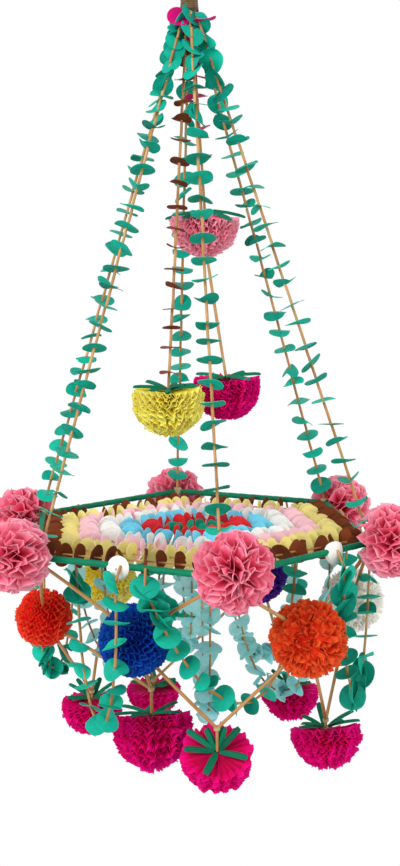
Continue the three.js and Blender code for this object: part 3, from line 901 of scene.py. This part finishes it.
row_pieces = []
for i, (row, code, count, dark, pale) in enumerate(ROWS):
    rng = np.random.default_rng(200 + i)
    bulge = WEB_BULGE if i else WEB_FIRST_BULGE
    discs = []
    straws = []
    for k in CORNERS:
        start, end = [row_corner(corner, WEB_FIRST - i * WEB_STEP, bulge) for corner in (k, k + 1)]
        middle = (start + end) / 2 + (BROWN_RISE if row == "brown" and k % 3 == 1 else 0) * UP
        path = measured([start, middle, end])
        side = path[1][-1]
        stops = (np.arange(count) + 0.5) * side / count + rng.normal(0, 0.8, count)
        stops = np.clip(stops, END_MARGIN, side - END_MARGIN)
        tilt, fold = (38, 34) if row == "brown" and k == 3 else (14, 16)
        for stop in stops:
            at, direction = on_path(path, stop)
            size = WEB_DISC * rng.uniform(0.95, 1.04) * (0.8 if row == "dark_green" else 1)
            spin = rng.normal(0, 0.6)
            discs.append(paper_disc(at, direction, size, rng, tilt, fold, cup=0.1, spin=spin))
        straws += cut_straws(path, [0, *stops, side], WEB_STRAW, rng)
    for part in discs + straws:
        part["points"] = on_web(part["points"])
    finish = paper(f"{row}_row_paper", code, 0.0 if row == "brown" else 0.3, dark, pale)
    row_pieces.append(make_string(f"web_{row}", discs, straws, finish, f"web_row_{row}"))
print("web faces:", faces_in(row_pieces))

# %% [markdown]
# Pompoms
# A pompom starts as a stack of tissue circles gathered at the centre. Each sheet is then pulled up or down,
# so it becomes a cone, and the paper that is too long for the cone stands in ruffles. That is how it is
# built here: nested cones from the front of the ball to its back, each with its own waves, deeper towards
# the edge. The stack was folded together, so all its sheets share some grooves that run out from the middle.

# %% Tissue sheets
TISSUE_THICK = 0.3


def grooves_round(rng, count, depth):
    """Angles, widths and depths of the grooves that all sheets of a pompom share."""
    places = math.tau * (np.arange(count) + rng.uniform(-0.3, 0.3, count)) / count
    return list(zip(places, rng.uniform(0.07, 0.16, count), depth * rng.uniform(0.4, 1.0, count)))


def tissue_sheet(radius, cone, rng, wave, ruffle, start=0.28, stops=5, grooves=(), torn=0.05):
    """One ruffled sheet round +Z; cone is its angle from the axis, wave the length of a ruffle in mm."""
    waves = max(3, round(math.tau * radius * math.sin(cone) / wave))
    p = rng.uniform(0, math.tau, 5)
    turn = angles_round(int(np.clip(5 * waves, 40, 110)))[:, None]
    share = (start + (1 - start) * np.linspace(0, 1, stops) ** 0.8)[None, :]
    slow = 0.6 * np.sin(2 * turn + p[2]) + 0.4 * np.sin(3 * turn + p[3])
    fold = 0.7 * np.sin(waves * turn + p[0] + 0.8 * slow) + 0.3 * np.sin((2 * waves - 1) * turn + p[1])
    lean = np.clip(cone + math.radians(ruffle) * share ** 1.3 * (fold + 0.45 * slow), 0.02, math.pi - 0.02)
    swing = turn + 0.55 / waves * share * np.sin(waves * turn + p[4])
    edge = radius * (1.0 - torn * (1 + np.sin(2 * waves * turn + p[1])) / 2 - 0.03 * slow)
    for place, width, depth in grooves:
        away = (turn - place + math.pi) % math.tau - math.pi
        edge = edge * (1 - depth * np.exp(-((away / width) ** 2)))
    level = np.stack(np.broadcast_arrays(np.cos(swing), np.sin(swing), 0 * swing), -1)
    rise, flare = np.cos(lean)[..., None], np.sin(lean)[..., None]
    sheet = (edge * share)[..., None] * (flare * level + rise * UP)
    half = TISSUE_THICK / 2 * (rise * level - flare * UP)
    outline = np.concatenate([sheet + half, (sheet - half)[:, ::-1]], 1)
    uv = np.stack(np.broadcast_arrays(turn / math.tau, share * edge / radius), -1)
    tint = np.clip(rng.normal(0.5, 0.2), 0, 1)
    return skin(outline, np.concatenate([uv, uv[:, ::-1]], 1), tint)


trial = tissue_sheet(38, math.radians(60), np.random.default_rng(1), wave=17, ruffle=14)
print("faces in one sheet:", len(trial["faces"]))

# %% Pompom cores
CORE_OPENING = 0.15


def core(radius, sides=14, rows=8, first=CORE_OPENING, shade=0.0):
    """The gathered middle of a pompom, below a polar angle; shade is its place on the tissue's painted shade.
    """
    polar = np.linspace(first, math.pi - CORE_OPENING, rows)[:, None]
    turn = angles_round(sides)[None, :]
    size = radius * (1 + 0.08 * np.sin(5 * turn + 3 * polar))
    ball = [np.sin(polar) * np.cos(turn), np.sin(polar) * np.sin(turn), np.cos(polar) + 0 * turn]
    return skin(size[..., None] * np.stack(ball, -1), np.full((rows, sides, 2), shade), 0.3, False)


def set_down(parts, centre, axis, spin=0.0):
    """Moves parts made round +Z to a centre, with +Z along axis."""
    for part in parts:
        part["points"] = turned(part["points"], centre, unit(axis), spin, 0.0)
    return parts


print("faces in a core:", len(core(12)["faces"]))

# %% Corner pompoms
CORNER_POM = 38.0
CORNER_POM_OUT = 25.0
CORNER_POM_BACK = 19.5
FRONT_CONES = np.linspace(5, 134, 14)
BACK_CONES = (145, 157, 170)
# Lift above the rim, and shift along it
CORNER_POMS = [(-8, 0), (5, -4), (12, 7), (6, -6), (-9, 0), (-12, 0)]

corner_poms = []
for k, (lift, shift) in enumerate(CORNER_POMS, 1):
    rng = np.random.default_rng(300 + k)
    grooves = grooves_round(rng, 9, 0.2)
    sheets = []
    for cone in FRONT_CONES:
        size = CORNER_POM * rng.uniform(0.97, 1.03)
        sheets.append(tissue_sheet(size, math.radians(cone), rng, wave=17, ruffle=14, grooves=grooves))
    for cone in BACK_CONES:
        size = CORNER_POM_BACK / abs(math.cos(math.radians(cone)))
        sheets.append(tissue_sheet(size, math.radians(cone), rng, wave=12, ruffle=5))
    out = corner_heading(k)
    middle = (RIM_CORNER + CORNER_POM_OUT) * out + shift * corner_heading(k, 90) + lift * UP
    # The core takes the darkest colour of the tissue's painted shade, standing for the shade between the
    # sheets.
    parts = set_down([*sheets, core(12)], middle, out, rng.uniform(0, 6))
    name = f"corner_pompom_{k}"
    corner_poms.append(make_piece(name, parts, pink_tissue, [f"corner_pom_{k}"]))
print("corner pompom faces:", faces_in(corner_poms))

# %% [markdown]
# The coloured pompoms under the sides are tighter. Four are of finely crumpled tissue with many small
# ruffles. The orange one is cut into pointed petals and the white one into a frayed fringe, so those two are
# made petal by petal: narrow folded strips on a spiral of directions that covers the ball evenly.

# %% Coloured pompoms of crumpled tissue
# Name, side, radius, reach from the middle, turn, depth, then the tissue's shades and glow
MID_POMS = [
    ("red", 1, 31.0, 165, 0, 92, "d00c0c", "f0221a", "f84426", 0.15),
    ("blue", 2, 36.5, 130, -5, 85, "030c58", "0836a4", "1254c0", 0.15),
    ("purple", 5, 34.0, 165, -5, 96, "1d0550", "3c1288", "5c2cb0", 0.15),
    ("yellow", 6, 34.0, 165, 3, 95, "ffcc00", "ffe81c", "fff670", 0.4),
]
MID_CONES = np.linspace(5, 175, 22)
MID_CORE = 0.8


def mid_centre(side, reach, turn, depth):
    return reach * side_heading(side, turn) - depth * UP


def make_pompom(name, sheets, radius, shade, centre, axis, shades):
    """A coloured pompom of sheets or petals round a core, in its own tissue."""
    parts = set_down([*sheets, core(radius * MID_CORE, sides=24, rows=14, shade=shade)], centre, axis)
    finish = tissue(f"{name}_tissue", *shades)
    return make_piece(f"{name}_pompom", parts, finish, [f"{name}_pom"])


fine_poms = []
for name, side, radius, reach, turn, depth, *shades in MID_POMS:
    rng = np.random.default_rng(400 + side)
    sheets = []
    for cone in MID_CONES:
        size = radius * rng.uniform(0.97, 1.03)
        sheets.append(tissue_sheet(size, math.radians(cone), rng, wave=9, ruffle=6, start=0.5, stops=4))
    centre = mid_centre(side, reach, turn, depth)
    axis = side_heading(side, turn) + 0.25 * UP
    fine_poms.append(make_pompom(name, sheets, radius, 0.6, centre, axis, shades))
print("crumpled pompom faces:", faces_in(fine_poms))

# %% Petals
PETAL_THICK = 0.4
PETAL_WIDTHS = ((0.3, 0.35), (0.65, 0.85), (0.88, 1.0))


def petal(direction, length, width, rng, tip):
    """A narrow folded petal from near the centre outwards; tip is its width at the end, as a share."""
    u, v = across(direction)
    spin = rng.uniform(0, math.tau)
    side = math.cos(spin) * u + math.sin(spin) * v
    face = np.cross(side, direction)
    sheet = PETAL_THICK / 2 * face
    curl = rng.normal(0, 0.12)
    outlines = []
    uv = []
    for share, wide in (*PETAL_WIDTHS, (1.0, tip)):
        spine = length * share * direction + curl * length * share ** 3 * face
        half = width / 2 * wide
        fold = spine - 0.3 * half * face
        outlines.append([spine - half * side, fold + sheet, spine + half * side, fold - sheet])
        uv.append([(spin, share)] * 4)
    return skin(outlines, np.array(uv), rng.uniform(0.2, 0.8), False)


print("faces in a petal:", len(petal(UP, 38, 7, np.random.default_rng(1), 0.5)["faces"]))

# %% Petal directions
def spiral_directions(count, rng, jitter):
    """Directions that cover a ball evenly."""
    i = np.arange(count) + 0.5
    z = 1 - 2 * i / count
    turn = i * math.pi * (3 - math.sqrt(5))
    level = np.sqrt(1 - z * z)
    points = np.stack([level * np.cos(turn), level * np.sin(turn), z], -1) + rng.normal(0, jitter, (count, 3))
    return points / np.linalg.norm(points, axis=1)[:, None]


print("two directions:", spiral_directions(2, np.random.default_rng(1), 0.0).round(2).tolist())

# %% Petal pompoms
# As above, with the number of petals, their width and tip before the shades
PETAL_POMS = [
    ("orange", 3, 38.0, 178, 0, 76, 800, 7.4, 0.55, ("d82c16", "ea401a", "f05a26", 0.15)),
    ("white", 4, 35.0, 174, 0, 90, 820, 4.4, 0.5, ("e4e0cf", "f4f1e6", "fbf9f2", 0.5)),
]

petal_poms = []
for name, side, radius, reach, turn, depth, count, width, tip, shades in PETAL_POMS:
    rng = np.random.default_rng(420 + side)
    petals = [
        petal(direction, radius * rng.uniform(0.94, 1.02), width, rng, tip)
        for direction in spiral_directions(count, rng, 0.05)
    ]
    centre = mid_centre(side, reach, turn, depth)
    petal_poms.append(make_pompom(name, petals, radius, 0.7, centre, UP, shades))
print("petal pompom faces:", faces_in(petal_poms))

# %% [markdown]
# Half-pompoms
# A half-pompom is gathered like a whole one, but at the middle of its top, and all its sheets are pulled
# down from there. Their edges end on a ball that is cut off a little above its middle, so the sheets that
# point straight down are the longest. All sheets share the grooves of the folded stack, which run from the
# gather to the bottom. Where the last sheet stops short of level, the top slopes down from the gather.

# %% Half-pompoms
# Sheets in the stack, length of a ruffle, its swing in degrees, and the number and depth of the grooves
LOOSE_STACK = (18, 9, 7, (10, 0.1))
LOW_STACK = (15, 9.5, 6, (16, 0.15))
HALF_CORE = 0.72


def half_pompom(radius, shoulder, rng, stack, last_cone=90):
    """Sheets gathered at the origin and pulled down; the widest level lies a shoulder below it."""
    layers, wave, ruffle, grooves = stack
    folds = grooves_round(rng, *grooves)
    sheets = []
    for cone in np.radians(np.linspace(7, last_cone, layers)):
        reach = shoulder * math.cos(cone) + math.sqrt(radius ** 2 - (shoulder * math.sin(cone)) ** 2)
        size = reach * rng.uniform(0.97, 1.02)
        sheet = tissue_sheet(size, cone, rng, wave, ruffle, start=0.3, stops=4, grooves=folds, torn=0.03)
        sheets.append(sheet)
    set_down(sheets, np.zeros(3), -UP)
    top = math.pi - math.radians(last_cone)
    return [*sheets, core(HALF_CORE * radius, sides=20, rows=7, first=top, shade=0.5)]


trial = half_pompom(36, 6, np.random.default_rng(1), LOOSE_STACK)
print("sheets in a half-pompom:", len(trial) - 1)

# %% [markdown]
# A rosette of green strips lies on the top of each half-pompom. The strips are narrow bands of paper, folded
# once along the middle so that they stay stiff. A folded band has a roof-shaped section, which is swept out
# from the gather and bent down a little on its way.

# %% Folded strips
LEAF_WIDTH = 7.4
LEAF_RIDGE = 0.36
LEAF_THICK = 0.22
LEAF_WIDTHS = ((0.0, 0.6), (0.2, 0.9), (0.5, 1.0), (0.8, 1.0), (0.95, 0.85), (1.0, 0.5))


def leaf_strip(root, out, rise, length, rng, bend):
    """A folded paper strip with a rounded tip that goes out from a gather and droops by an angle."""
    side = unit(np.cross(UP, out))
    outlines = []
    uv = []
    spine = root
    before = 0.0
    for share, wide in LEAF_WIDTHS:
        angle = rise - bend * share
        along = out * math.cos(angle) + UP * math.sin(angle)
        spine = spine + length * (share - before) * along
        before = share
        face = np.cross(along, side)
        half = 0.5 * LEAF_WIDTH * wide * side
        ridge = LEAF_RIDGE * LEAF_WIDTH * wide * face
        sheet = LEAF_THICK * face
        outlines.append([
            spine - half, spine + ridge + sheet, spine + half,
            spine + half - sheet, spine + ridge - sheet, spine - half - sheet,
        ])
        uv.append([(0.0, share), (0.5, share), (1.0, share)] * 2)
    return skin(outlines, np.array(uv), np.clip(rng.normal(0.5, 0.22), 0, 1), False)


trial = leaf_strip(np.zeros(3), X_AXIS, 0.1, 30, np.random.default_rng(1), 0.2)
print("faces in a folded strip:", len(trial["faces"]))

# %% Rosettes
LEAF_REACH = (0.58, 0.92)


def rosette(radius, rng, strips, reach=LEAF_REACH):
    """Folded strips round the gather, each with a heading and a rise in degrees."""
    made = []
    for degrees, rise in strips:
        out = heading(degrees + rng.normal(0, 5))
        rise_by = math.radians(rise + 8 + rng.normal(0, 3))
        length = radius * rng.uniform(*reach)
        made.append(leaf_strip(3 * out + 2 * UP, out, rise_by, length, rng, rng.uniform(0.1, 0.3)))
    return made


print("strips in a small rosette:", len(rosette(36, np.random.default_rng(1), [(0, 5), (180, 5)])))

# %% [markdown]
# Six magenta half-pompoms hang where the lower straws meet. No two hang alike, so a row of the table holds
# the size and shoulder of one, the place of its point, how far it hangs below it, its lean, and the heading
# and rise of every strip. Each is made upright at the origin and then tipped about its gather, which is
# simpler than building it at a slant.

# %% Low half-pompoms
# Radius, shoulder, reach, turn, depth, hang, lean, and the strips
LOW_POMS = [
    (36, 6, 133, 0, 205, 8, 5, [(182, 6), (165, 32), (215, 12), (300, 12), (20, 25), (60, 48), (120, 40)]),
    (44, 12, 98, 24, 148, 27, 20, [(184, 0), (232, 2), (352, 2), (300, 0), (40, 12), (90, 10), (140, 12)]),
    (37, 5.5, 150, 0, 163, 22, -28, [(181, 2), (28, 47), (62, 44), (246, 6), (122, 40), (150, 20), (340, 8)]),
    (39, 3, 146, 0, 196, 8, 20, [(180, 4), (18, 26), (352, 6), (90, 50), (215, 8), (300, 12), (130, 20)]),
    (36, 3.5, 142, 3, 210, 8, 8, [(175, 12), (20, 14), (90, 25), (250, 14), (300, 20), (130, 30), (340, 8)]),
    (34, 1, 122, 19, 215, 8, 0, [(180, 14), (20, 12), (90, 25), (250, 16), (300, 14), (130, 30), (340, 10)]),
]
STRAW_END = 2.0
TOP_GAP = 1.4

low_points = []
half_poms = []
for k, (radius, shoulder, reach, turn, depth, hang, lean, strips) in enumerate(LOW_POMS, 1):
    rng = np.random.default_rng(500 + k)
    lean = math.radians(lean)
    low_points.append(reach * corner_heading(k, turn) - depth * UP)
    top = low_points[-1] - (hang + STRAW_END * math.tan(abs(lean)) + TOP_GAP / math.cos(lean)) * UP
    ball = half_pompom(radius, shoulder, rng, LOW_STACK)
    leaves = rosette(radius, rng, strips)
    for part in ball + leaves:
        part["points"] = tipped(part["points"], lean) + top
    name = f"low_half_pompom_{k}"
    half_poms.append(make_piece(name, ball, magenta_tissue, [f"low_{k}_half_pom"]))
    make_piece(f"low_rosette_{k}", leaves, leaf_paper, [f"low_{k}_leaves"])
print("low half-pompom faces:", faces_in(half_poms))

# %% [markdown]
# Three more half-pompoms hang level inside the cone of strands. The top of the pink one slopes, so its
# strips are longer and droop along the slope.

# %% Half-pompoms inside the cone
golden_tissue = tissue("golden_tissue", "d0b41c", "f0d83a", "fffa78")
# Name, top, radius, shoulder, tissue, last cone, droop of the strips and their reach
HANGING = [
    ("pink", (16.5, 27, 333), 37.3, 9, pink_tissue, 78, -19, (0.88, 1.1)),
    ("yellow", (-29, -17, 150.5), 39, 9.5, golden_tissue, 90, -5, LEAF_REACH),
    ("magenta", (37, 17, 157), 38, 6, magenta_tissue, 90, -5, LEAF_REACH),
]
STRIP_HEADINGS = (178, 222, 262, 300, 352, 30, 75, 130)
STRIP_SPREAD = 13

hanging_poms = []
for i, (name, top, radius, shoulder, finish, last_cone, droop, reach) in enumerate(HANGING):
    rng = np.random.default_rng(520 + i)
    ball = half_pompom(radius, shoulder, rng, LOOSE_STACK, last_cone)
    strips = [(degrees, rng.uniform(droop, droop + STRIP_SPREAD)) for degrees in STRIP_HEADINGS]
    leaves = rosette(radius, rng, strips, reach)
    for part in ball + leaves:
        part["points"] = part["points"] + np.array(top, float)
    hanging_poms.append(make_piece(f"{name}_half_pompom", ball, finish, [f"{name}_half_pom"]))
    make_piece(f"{name}_rosette", leaves, leaf_paper, [f"{name}_leaves"])
print("hanging half-pompom faces:", faces_in(hanging_poms))

# %% [markdown]
# Pendants
# Two strings hang inside the cone. One carries brown discs down to the yellow half-pompom, the other a few
# magenta discs to the pink one and then a bare straw to the magenta one. They are threaded as the strands
# are. Two more magenta discs are pushed up under the tie, on the straws of two strands.

# %% Pendant strings
PENDANT_STRAW = 1.5
PENDANT_CROWD = 50
PENDANT_CLEAR = 9


def pendant(name, ends, stops, size, finish, seed):
    rng = np.random.default_rng(seed)
    path = measured(ends)
    length = path[1][-1]
    stops = [stop for stop in stops + rng.normal(0, 1.2, len(stops)) if stop < length - PENDANT_CLEAR]
    discs = []
    for stop in stops:
        at, direction = on_path(path, stop)
        face = heading(rng.uniform(200, 330)) if stop < PENDANT_CROWD else None
        radius = size * rng.uniform(0.93, 1.07)
        discs.append(paper_disc(at, direction, radius, rng, tilt=10, fold=16, face=face))
    straws = cut_straws(path, [0, *stops, length], PENDANT_STRAW, rng)
    make_string(name, discs, straws, finish, f"{name}_string")
    return len(stops)


pink_top, yellow_top, magenta_top = [np.array(top, float) for _, top, *_ in HANGING]
gather = np.array([2.3, 0, 530.0])
brown_stops = np.arange(44, 420, 21.0)
magenta_stops = np.array([14, 19, 31, 43, 60, 84, 110, 140, 170])
brown_ends = [gather * (-1, 1, 1), yellow_top + UP]
magenta_ends = [gather, pink_top + UP]
count = pendant("brown_pendant", brown_ends, brown_stops, 10.5, brown_paper, 600)
count += pendant("magenta_pendant", magenta_ends, magenta_stops, 12, magenta_paper, 601)
print("pendant discs:", count)

# %% Tie discs and the lower pendant straw
TIE_DISC = 12

rng = np.random.default_rng(602)
tie_discs = []
for k, drop, shift, face in ((2, 7, 5, heading(215)), (4, 9, 7, None)):
    foot, top = strand_ends(k)
    at = top + drop * unit(foot - top) + shift * corner_heading(k)
    tie_discs.append(paper_disc(at, unit(top - foot), TIE_DISC, rng, tilt=12, fold=14, face=face))
make_piece("tie_discs", tie_discs, magenta_paper)
lower_straws = [straw_tube(pink_top - 30 * UP, magenta_top + 0.5 * UP, 1.6, rng, bow=1.0, joints=3)]
make_piece("lower_pendant_straws", lower_straws, straw, ["lower_pendant_straw"])
print("tie discs:", len(tie_discs))

# %% [markdown]
# Straws under the rim
# From each corner two straws run down to the coloured pompoms, and from those two more meet in a V above
# each low half-pompom. They are long single straws, slightly bowed, with the faint rings where a stem had
# its leaves, and a thread binds them where they meet.

# %% Zigzag straws
BRACE = 1.75
BRACE_BOW = 1.2
BRACE_JOINTS = 3
BRACE_TIE = 6.5
BRACE_GAP = 1.2
POM_CLEAR = 4.5
mids = {
    side: mid_centre(side, reach, turn, depth)
    for _, side, _, reach, turn, depth, *_ in MID_POMS + PETAL_POMS
}

rng = np.random.default_rng(700)
upper = []
lower = []
bindings = []
for k, point in enumerate(low_points, 1):
    foot = corners[k - 1] - BRACE_TIE * UP
    for side in (k, (k + 4) % 6 + 1):
        start = foot + BRACE_GAP * unit(mids[side] - foot)
        upper.append(straw_tube(start, mids[side] + POM_CLEAR * UP, BRACE, rng, BRACE_BOW, BRACE_JOINTS))
        lower.append(straw_tube(mids[side] - POM_CLEAR * UP, point, BRACE, rng, BRACE_BOW, BRACE_JOINTS))
    hang = LOW_POMS[k - 1][5]
    lower.append(straw_tube(point, point - (hang + 1.5) * UP, BRACE * 0.9, rng, bow=0, joints=0))
    bindings.append(coil(point, UP, radius=2.7, cord=0.6, turns=3, pitch=1.2))
make_piece("upper_zigzag", upper, straw, ["upper_straws"])
make_piece("lower_zigzag", lower, straw, ["lower_straws"])
make_piece("zigzag_bindings", bindings, thread)
print("long straws:", len(upper) + len(lower))

# %% [markdown]
# Green swags
# A garland of green discs hangs at each corner. Most ends are tied to the rim, two to a web cord, and two
# come out of a white paper button. A cubic curve gives the hang: it drops straight from both ends and turns
# at the bottom. The discs slide on the thread, so they bunch at the tops and at the bottom, and there they
# turn every way.

# %% Ties of the garlands
CORD_GAP = 0.3


def rim_tie(k, distance, ahead):
    """Place on the rim at a distance from corner k, and the way out of the rim there."""
    side = k if ahead else k - 1
    return corners[k - 1] + distance * side_heading(side, 90 if ahead else -90), side_heading(side)


def cord_tie(k, reach):
    """Place under the web cord of corner k."""
    return on_web(reach * corner_heading(k)) - CORD_GAP * UP


print("a place under the first web cord in mm:", cord_tie(1, 150).round(1))

# %% Hanging curves
BUNCHED = 0.36


def hanging_curve(start, end, sag, slant=0.0, skew=0.0, steps=60):
    """Points of a curve that drops from one end and rises straight to the other."""
    depth = 4 / 3 * sag
    first = start + slant * (end - start) - depth * (1 - skew) * UP
    second = end - depth * (1 + skew) * UP
    t = np.linspace(0, 1, steps)[:, None]
    return (1 - t) ** 3 * start + 3 * (1 - t) ** 2 * t * first + 3 * (1 - t) * t * t * second + t ** 3 * end


def in_bunch(share, bunches):
    return any(low <= share <= high for low, high in bunches)


def bunched_stops(length, first, last, pitch, bunches, rng):
    """Places along a string, closer together inside the bunches, which are shares of its length."""
    stops = [first]
    while stops[-1] < length - last:
        close = BUNCHED if in_bunch(stops[-1] / length, bunches) else 1.0
        stops.append(stops[-1] + close * pitch + rng.normal(0, 0.06 * pitch))
    return stops[:-1]


print("points on a hanging curve:", len(hanging_curve(corners[0], corners[1], 150)))

# %% Swag ends
SWAG_CLEAR = 15.2
# End before the corner, end after it, sag, slant, skew and bunches
SWAGS = [
    (("rim", 50), ("rim", 50), 182, 0, 0, [(0.4, 0.6)]),
    (("cord", 150), ("rim", 90), 167, 0, 0, [(0.0, 0.12), (0.48, 0.53)]),
    (("rim", 74), ("cord", 112), 156, 0.22, 0.34, [(0.0, 0.2)]),
    (("rim", 50), ("rim", 50), 165, 0, 0, [(0.0, 0.18), (0.42, 0.6)]),
    (("rim", 50), ("rim", 50), 150, 0, 0, [(0.4, 0.6)]),
    (("rim", 50), ("rim", 50), 155, 0, 0, [(0.4, 0.6)]),
]


def swag_path(k, back, ahead, *hang):
    """The way of a swag at corner k, from its end before the corner to its end after it."""
    ends = []
    ties = []
    for (kind, where), is_ahead in ((back, False), (ahead, True)):
        if kind == "cord":
            ends.append(cord_tie(k + is_ahead, where))
            ties.append([])
        else:
            at, out = rim_tie(k, where, is_ahead)
            ends.append(at + SWAG_CLEAR * out)
            ties.append([at + 5 * out + 2 * UP])
    return measured([*ties[0], *hanging_curve(*ends, *hang), *ties[1]])


print("length of the first swag in mm:", round(swag_path(1, *SWAGS[0][:-1])[1][-1]))

# %% Swags
SWAG_PITCH = 22.0
SWAG_FIRST = 24
SWAG_LAST = 18
SWAG_STRAW = 1.4

swag_pieces = []
for k, (back, ahead, sag, slant, skew, bunches) in enumerate(SWAGS, 1):
    rng = np.random.default_rng(800 + k)
    path = swag_path(k, back, ahead, sag, slant, skew)
    length = path[1][-1]
    stops = bunched_stops(length, SWAG_FIRST, SWAG_LAST, SWAG_PITCH, bunches, rng)
    discs = []
    for stop in stops:
        at, direction = on_path(path, stop)
        close = in_bunch(stop / length, bunches)
        size = DISC * rng.uniform(0.96, 1.1) * (1.12 if close else 1)
        face = side_heading(k if stop > length / 2 else k - 1) if close and rng.random() < 0.85 else None
        fold = 22 if face is None else 9
        discs.append(paper_disc(at, direction, size, rng, 20, fold, cup=0.12, face=face))
    straws = cut_straws(path, [0, *stops, length], SWAG_STRAW, rng)
    swag_pieces.append(make_string(f"swag_{k}", discs, straws, swag_paper, f"swag_{k}"))
print("swag faces:", faces_in(swag_pieces))

# %% Swag buttons
# Corner, distance from it, and whether it lies ahead of the corner
BUTTONS = [(2, 86, True), (4, 50, False)]
BUTTON = 11.8
BUTTON_OUT = 5.2
BUTTON_DROP = 1.5
BUTTON_DOME = 0.028
BUTTON_LAYERS = (0.0, 1.4)

buttons = []
for k, distance, is_ahead in BUTTONS:
    at, out = rim_tie(k, distance, is_ahead)
    rng = np.random.default_rng(850 + k)
    for lift in BUTTON_LAYERS:
        centre = at + (BUTTON_OUT + lift) * out - BUTTON_DROP * UP
        way = unit(out + 0.2 * UP)
        button = paper_disc(centre, way, BUTTON - lift, rng, tilt=5, fold=4, cup=0.0, ripple=0.06)
        away = np.linalg.norm(button["points"] - at - BUTTON_OUT * out + BUTTON_DROP * UP, axis=1)
        button["points"] = button["points"] - BUTTON_DOME * (away ** 2)[:, None] * out
        buttons.append(button)
make_piece("swag_buttons", buttons, white_paper)
print("paper layers in the buttons:", len(buttons))

# %% [markdown]
# Aqua festoons
# Inside the swags hang six loops of thin pale blue paper. They are three cords, each from one web cord under
# the middle to the opposite web cord, so each is made as two arms. The paper is lighter than the rest, so
# its discs flop and turn their faces outwards, and some light comes through them.

# %% Festoons
# Outer end on the web cord, and sag
FESTOONS = [(150, 158), (120, 118), (112, 170), (150, 165), (150, 155), (150, 148)]
FESTOON_INNER = 42
FESTOON_PITCH = 19.0
FESTOON_FIRST = 18
FESTOON_LAST = 12
FESTOON_DISC = 12.3
FESTOON_STRAW = 1.15
FESTOON_TOP = 1.8
FESTOON_CROSSING = 3.3

festoon_pieces = []
for k in (1, 2, 3):
    below = (FESTOON_TOP + FESTOON_CROSSING * (k - 1)) * UP
    discs = []
    straws = []
    for arm in (k, k + 3):
        rng = np.random.default_rng(900 + arm)
        outer, sag = FESTOONS[arm - 1]
        inner_end = on_web(FESTOON_INNER * corner_heading(arm)) - below
        path = measured([*hanging_curve(cord_tie(arm, outer), inner_end, sag), on_web(0 * UP) - below])
        length = path[1][-1] - FESTOON_INNER
        stops = bunched_stops(length, FESTOON_FIRST, FESTOON_LAST, FESTOON_PITCH, [(0.42, 0.6)], rng)
        for stop in stops:
            at, direction = on_path(path, stop)
            face = corner_heading(arm) if rng.random() < 0.45 else None
            size = FESTOON_DISC * rng.uniform(0.92, 1.08)
            fold = 22 if face is None else 10
            discs.append(paper_disc(at, direction, size, rng, 26, fold, cup=0.1, ripple=0.08, face=face))
        straws += cut_straws(path, [0, *stops, length, path[1][-1]], FESTOON_STRAW, rng)
    name = f"festoon_{k}"
    festoon_pieces.append(make_string(name, discs, straws, aqua_paper, name))
print("festoon faces:", faces_in(festoon_pieces))

# %% [markdown]
# The tie and the loop
# The strands are gathered under a whipping of brown cord, which ends in a loop for a hook. The whipping is
# one cord wound round and round a core, narrower at the waist and drawn in at the top. The loop is the
# same cord, plied, so its section has two lobes that turn as it goes round.

# %% Hanging tie
TIE_FOOT = 530.3
TIE_HEIGHT = 20.0
TIE_RADIUS = 8.6
TIE_CORE = ((0, 5.5), (1, 7.6), (9, 6.9), (16, 7.6), (19, 4.5), (20, 2))
TIE_TURNS = 8
TIE_STEPS = 28
TIE_CORD = 1.25
LOOP = 11.0
LOOP_CORD = 1.7
LOOP_SINK = 1.6
LOOP_TWISTS = 9

barrel = [
    size * ring(angles_round(16), X_AXIS, Y_AXIS) + (TIE_FOOT + height) * UP
    for height, size in TIE_CORE
]
turns = np.linspace(0, TIE_TURNS, TIE_TURNS * TIE_STEPS)
height = 1.2 + turns * 2.15
waist = TIE_RADIUS - 0.9 * np.sin(math.pi * turns / TIE_TURNS) - 3.6 * np.clip(turns - 7, 0, 1) ** 2
winding = waist[:, None] * ring(math.tau * turns, X_AXIS, Y_AXIS) + (TIE_FOOT + height)[:, None] * UP
loop_middle = (TIE_FOOT + TIE_HEIGHT + LOOP - LOOP_SINK) * UP
section = angles_round(10)
lobes = LOOP_CORD * (0.78 + 0.22 * np.cos(2 * section))[:, None]
loop = []
for t in angles_round(72):
    way = math.cos(t) * X_AXIS + math.sin(t) * UP
    loop.append(loop_middle + LOOP * way + lobes * ring(section + LOOP_TWISTS * t, way, Y_AXIS))
tie_parts = [skin(barrel, round_trip=False), tube(winding, TIE_CORD, sides=8, bore=0.3), skin(loop)]
make_piece("whipping_and_loop", tie_parts, jute, ["hanging_tie"])
print("tie parts:", len(tie_parts))
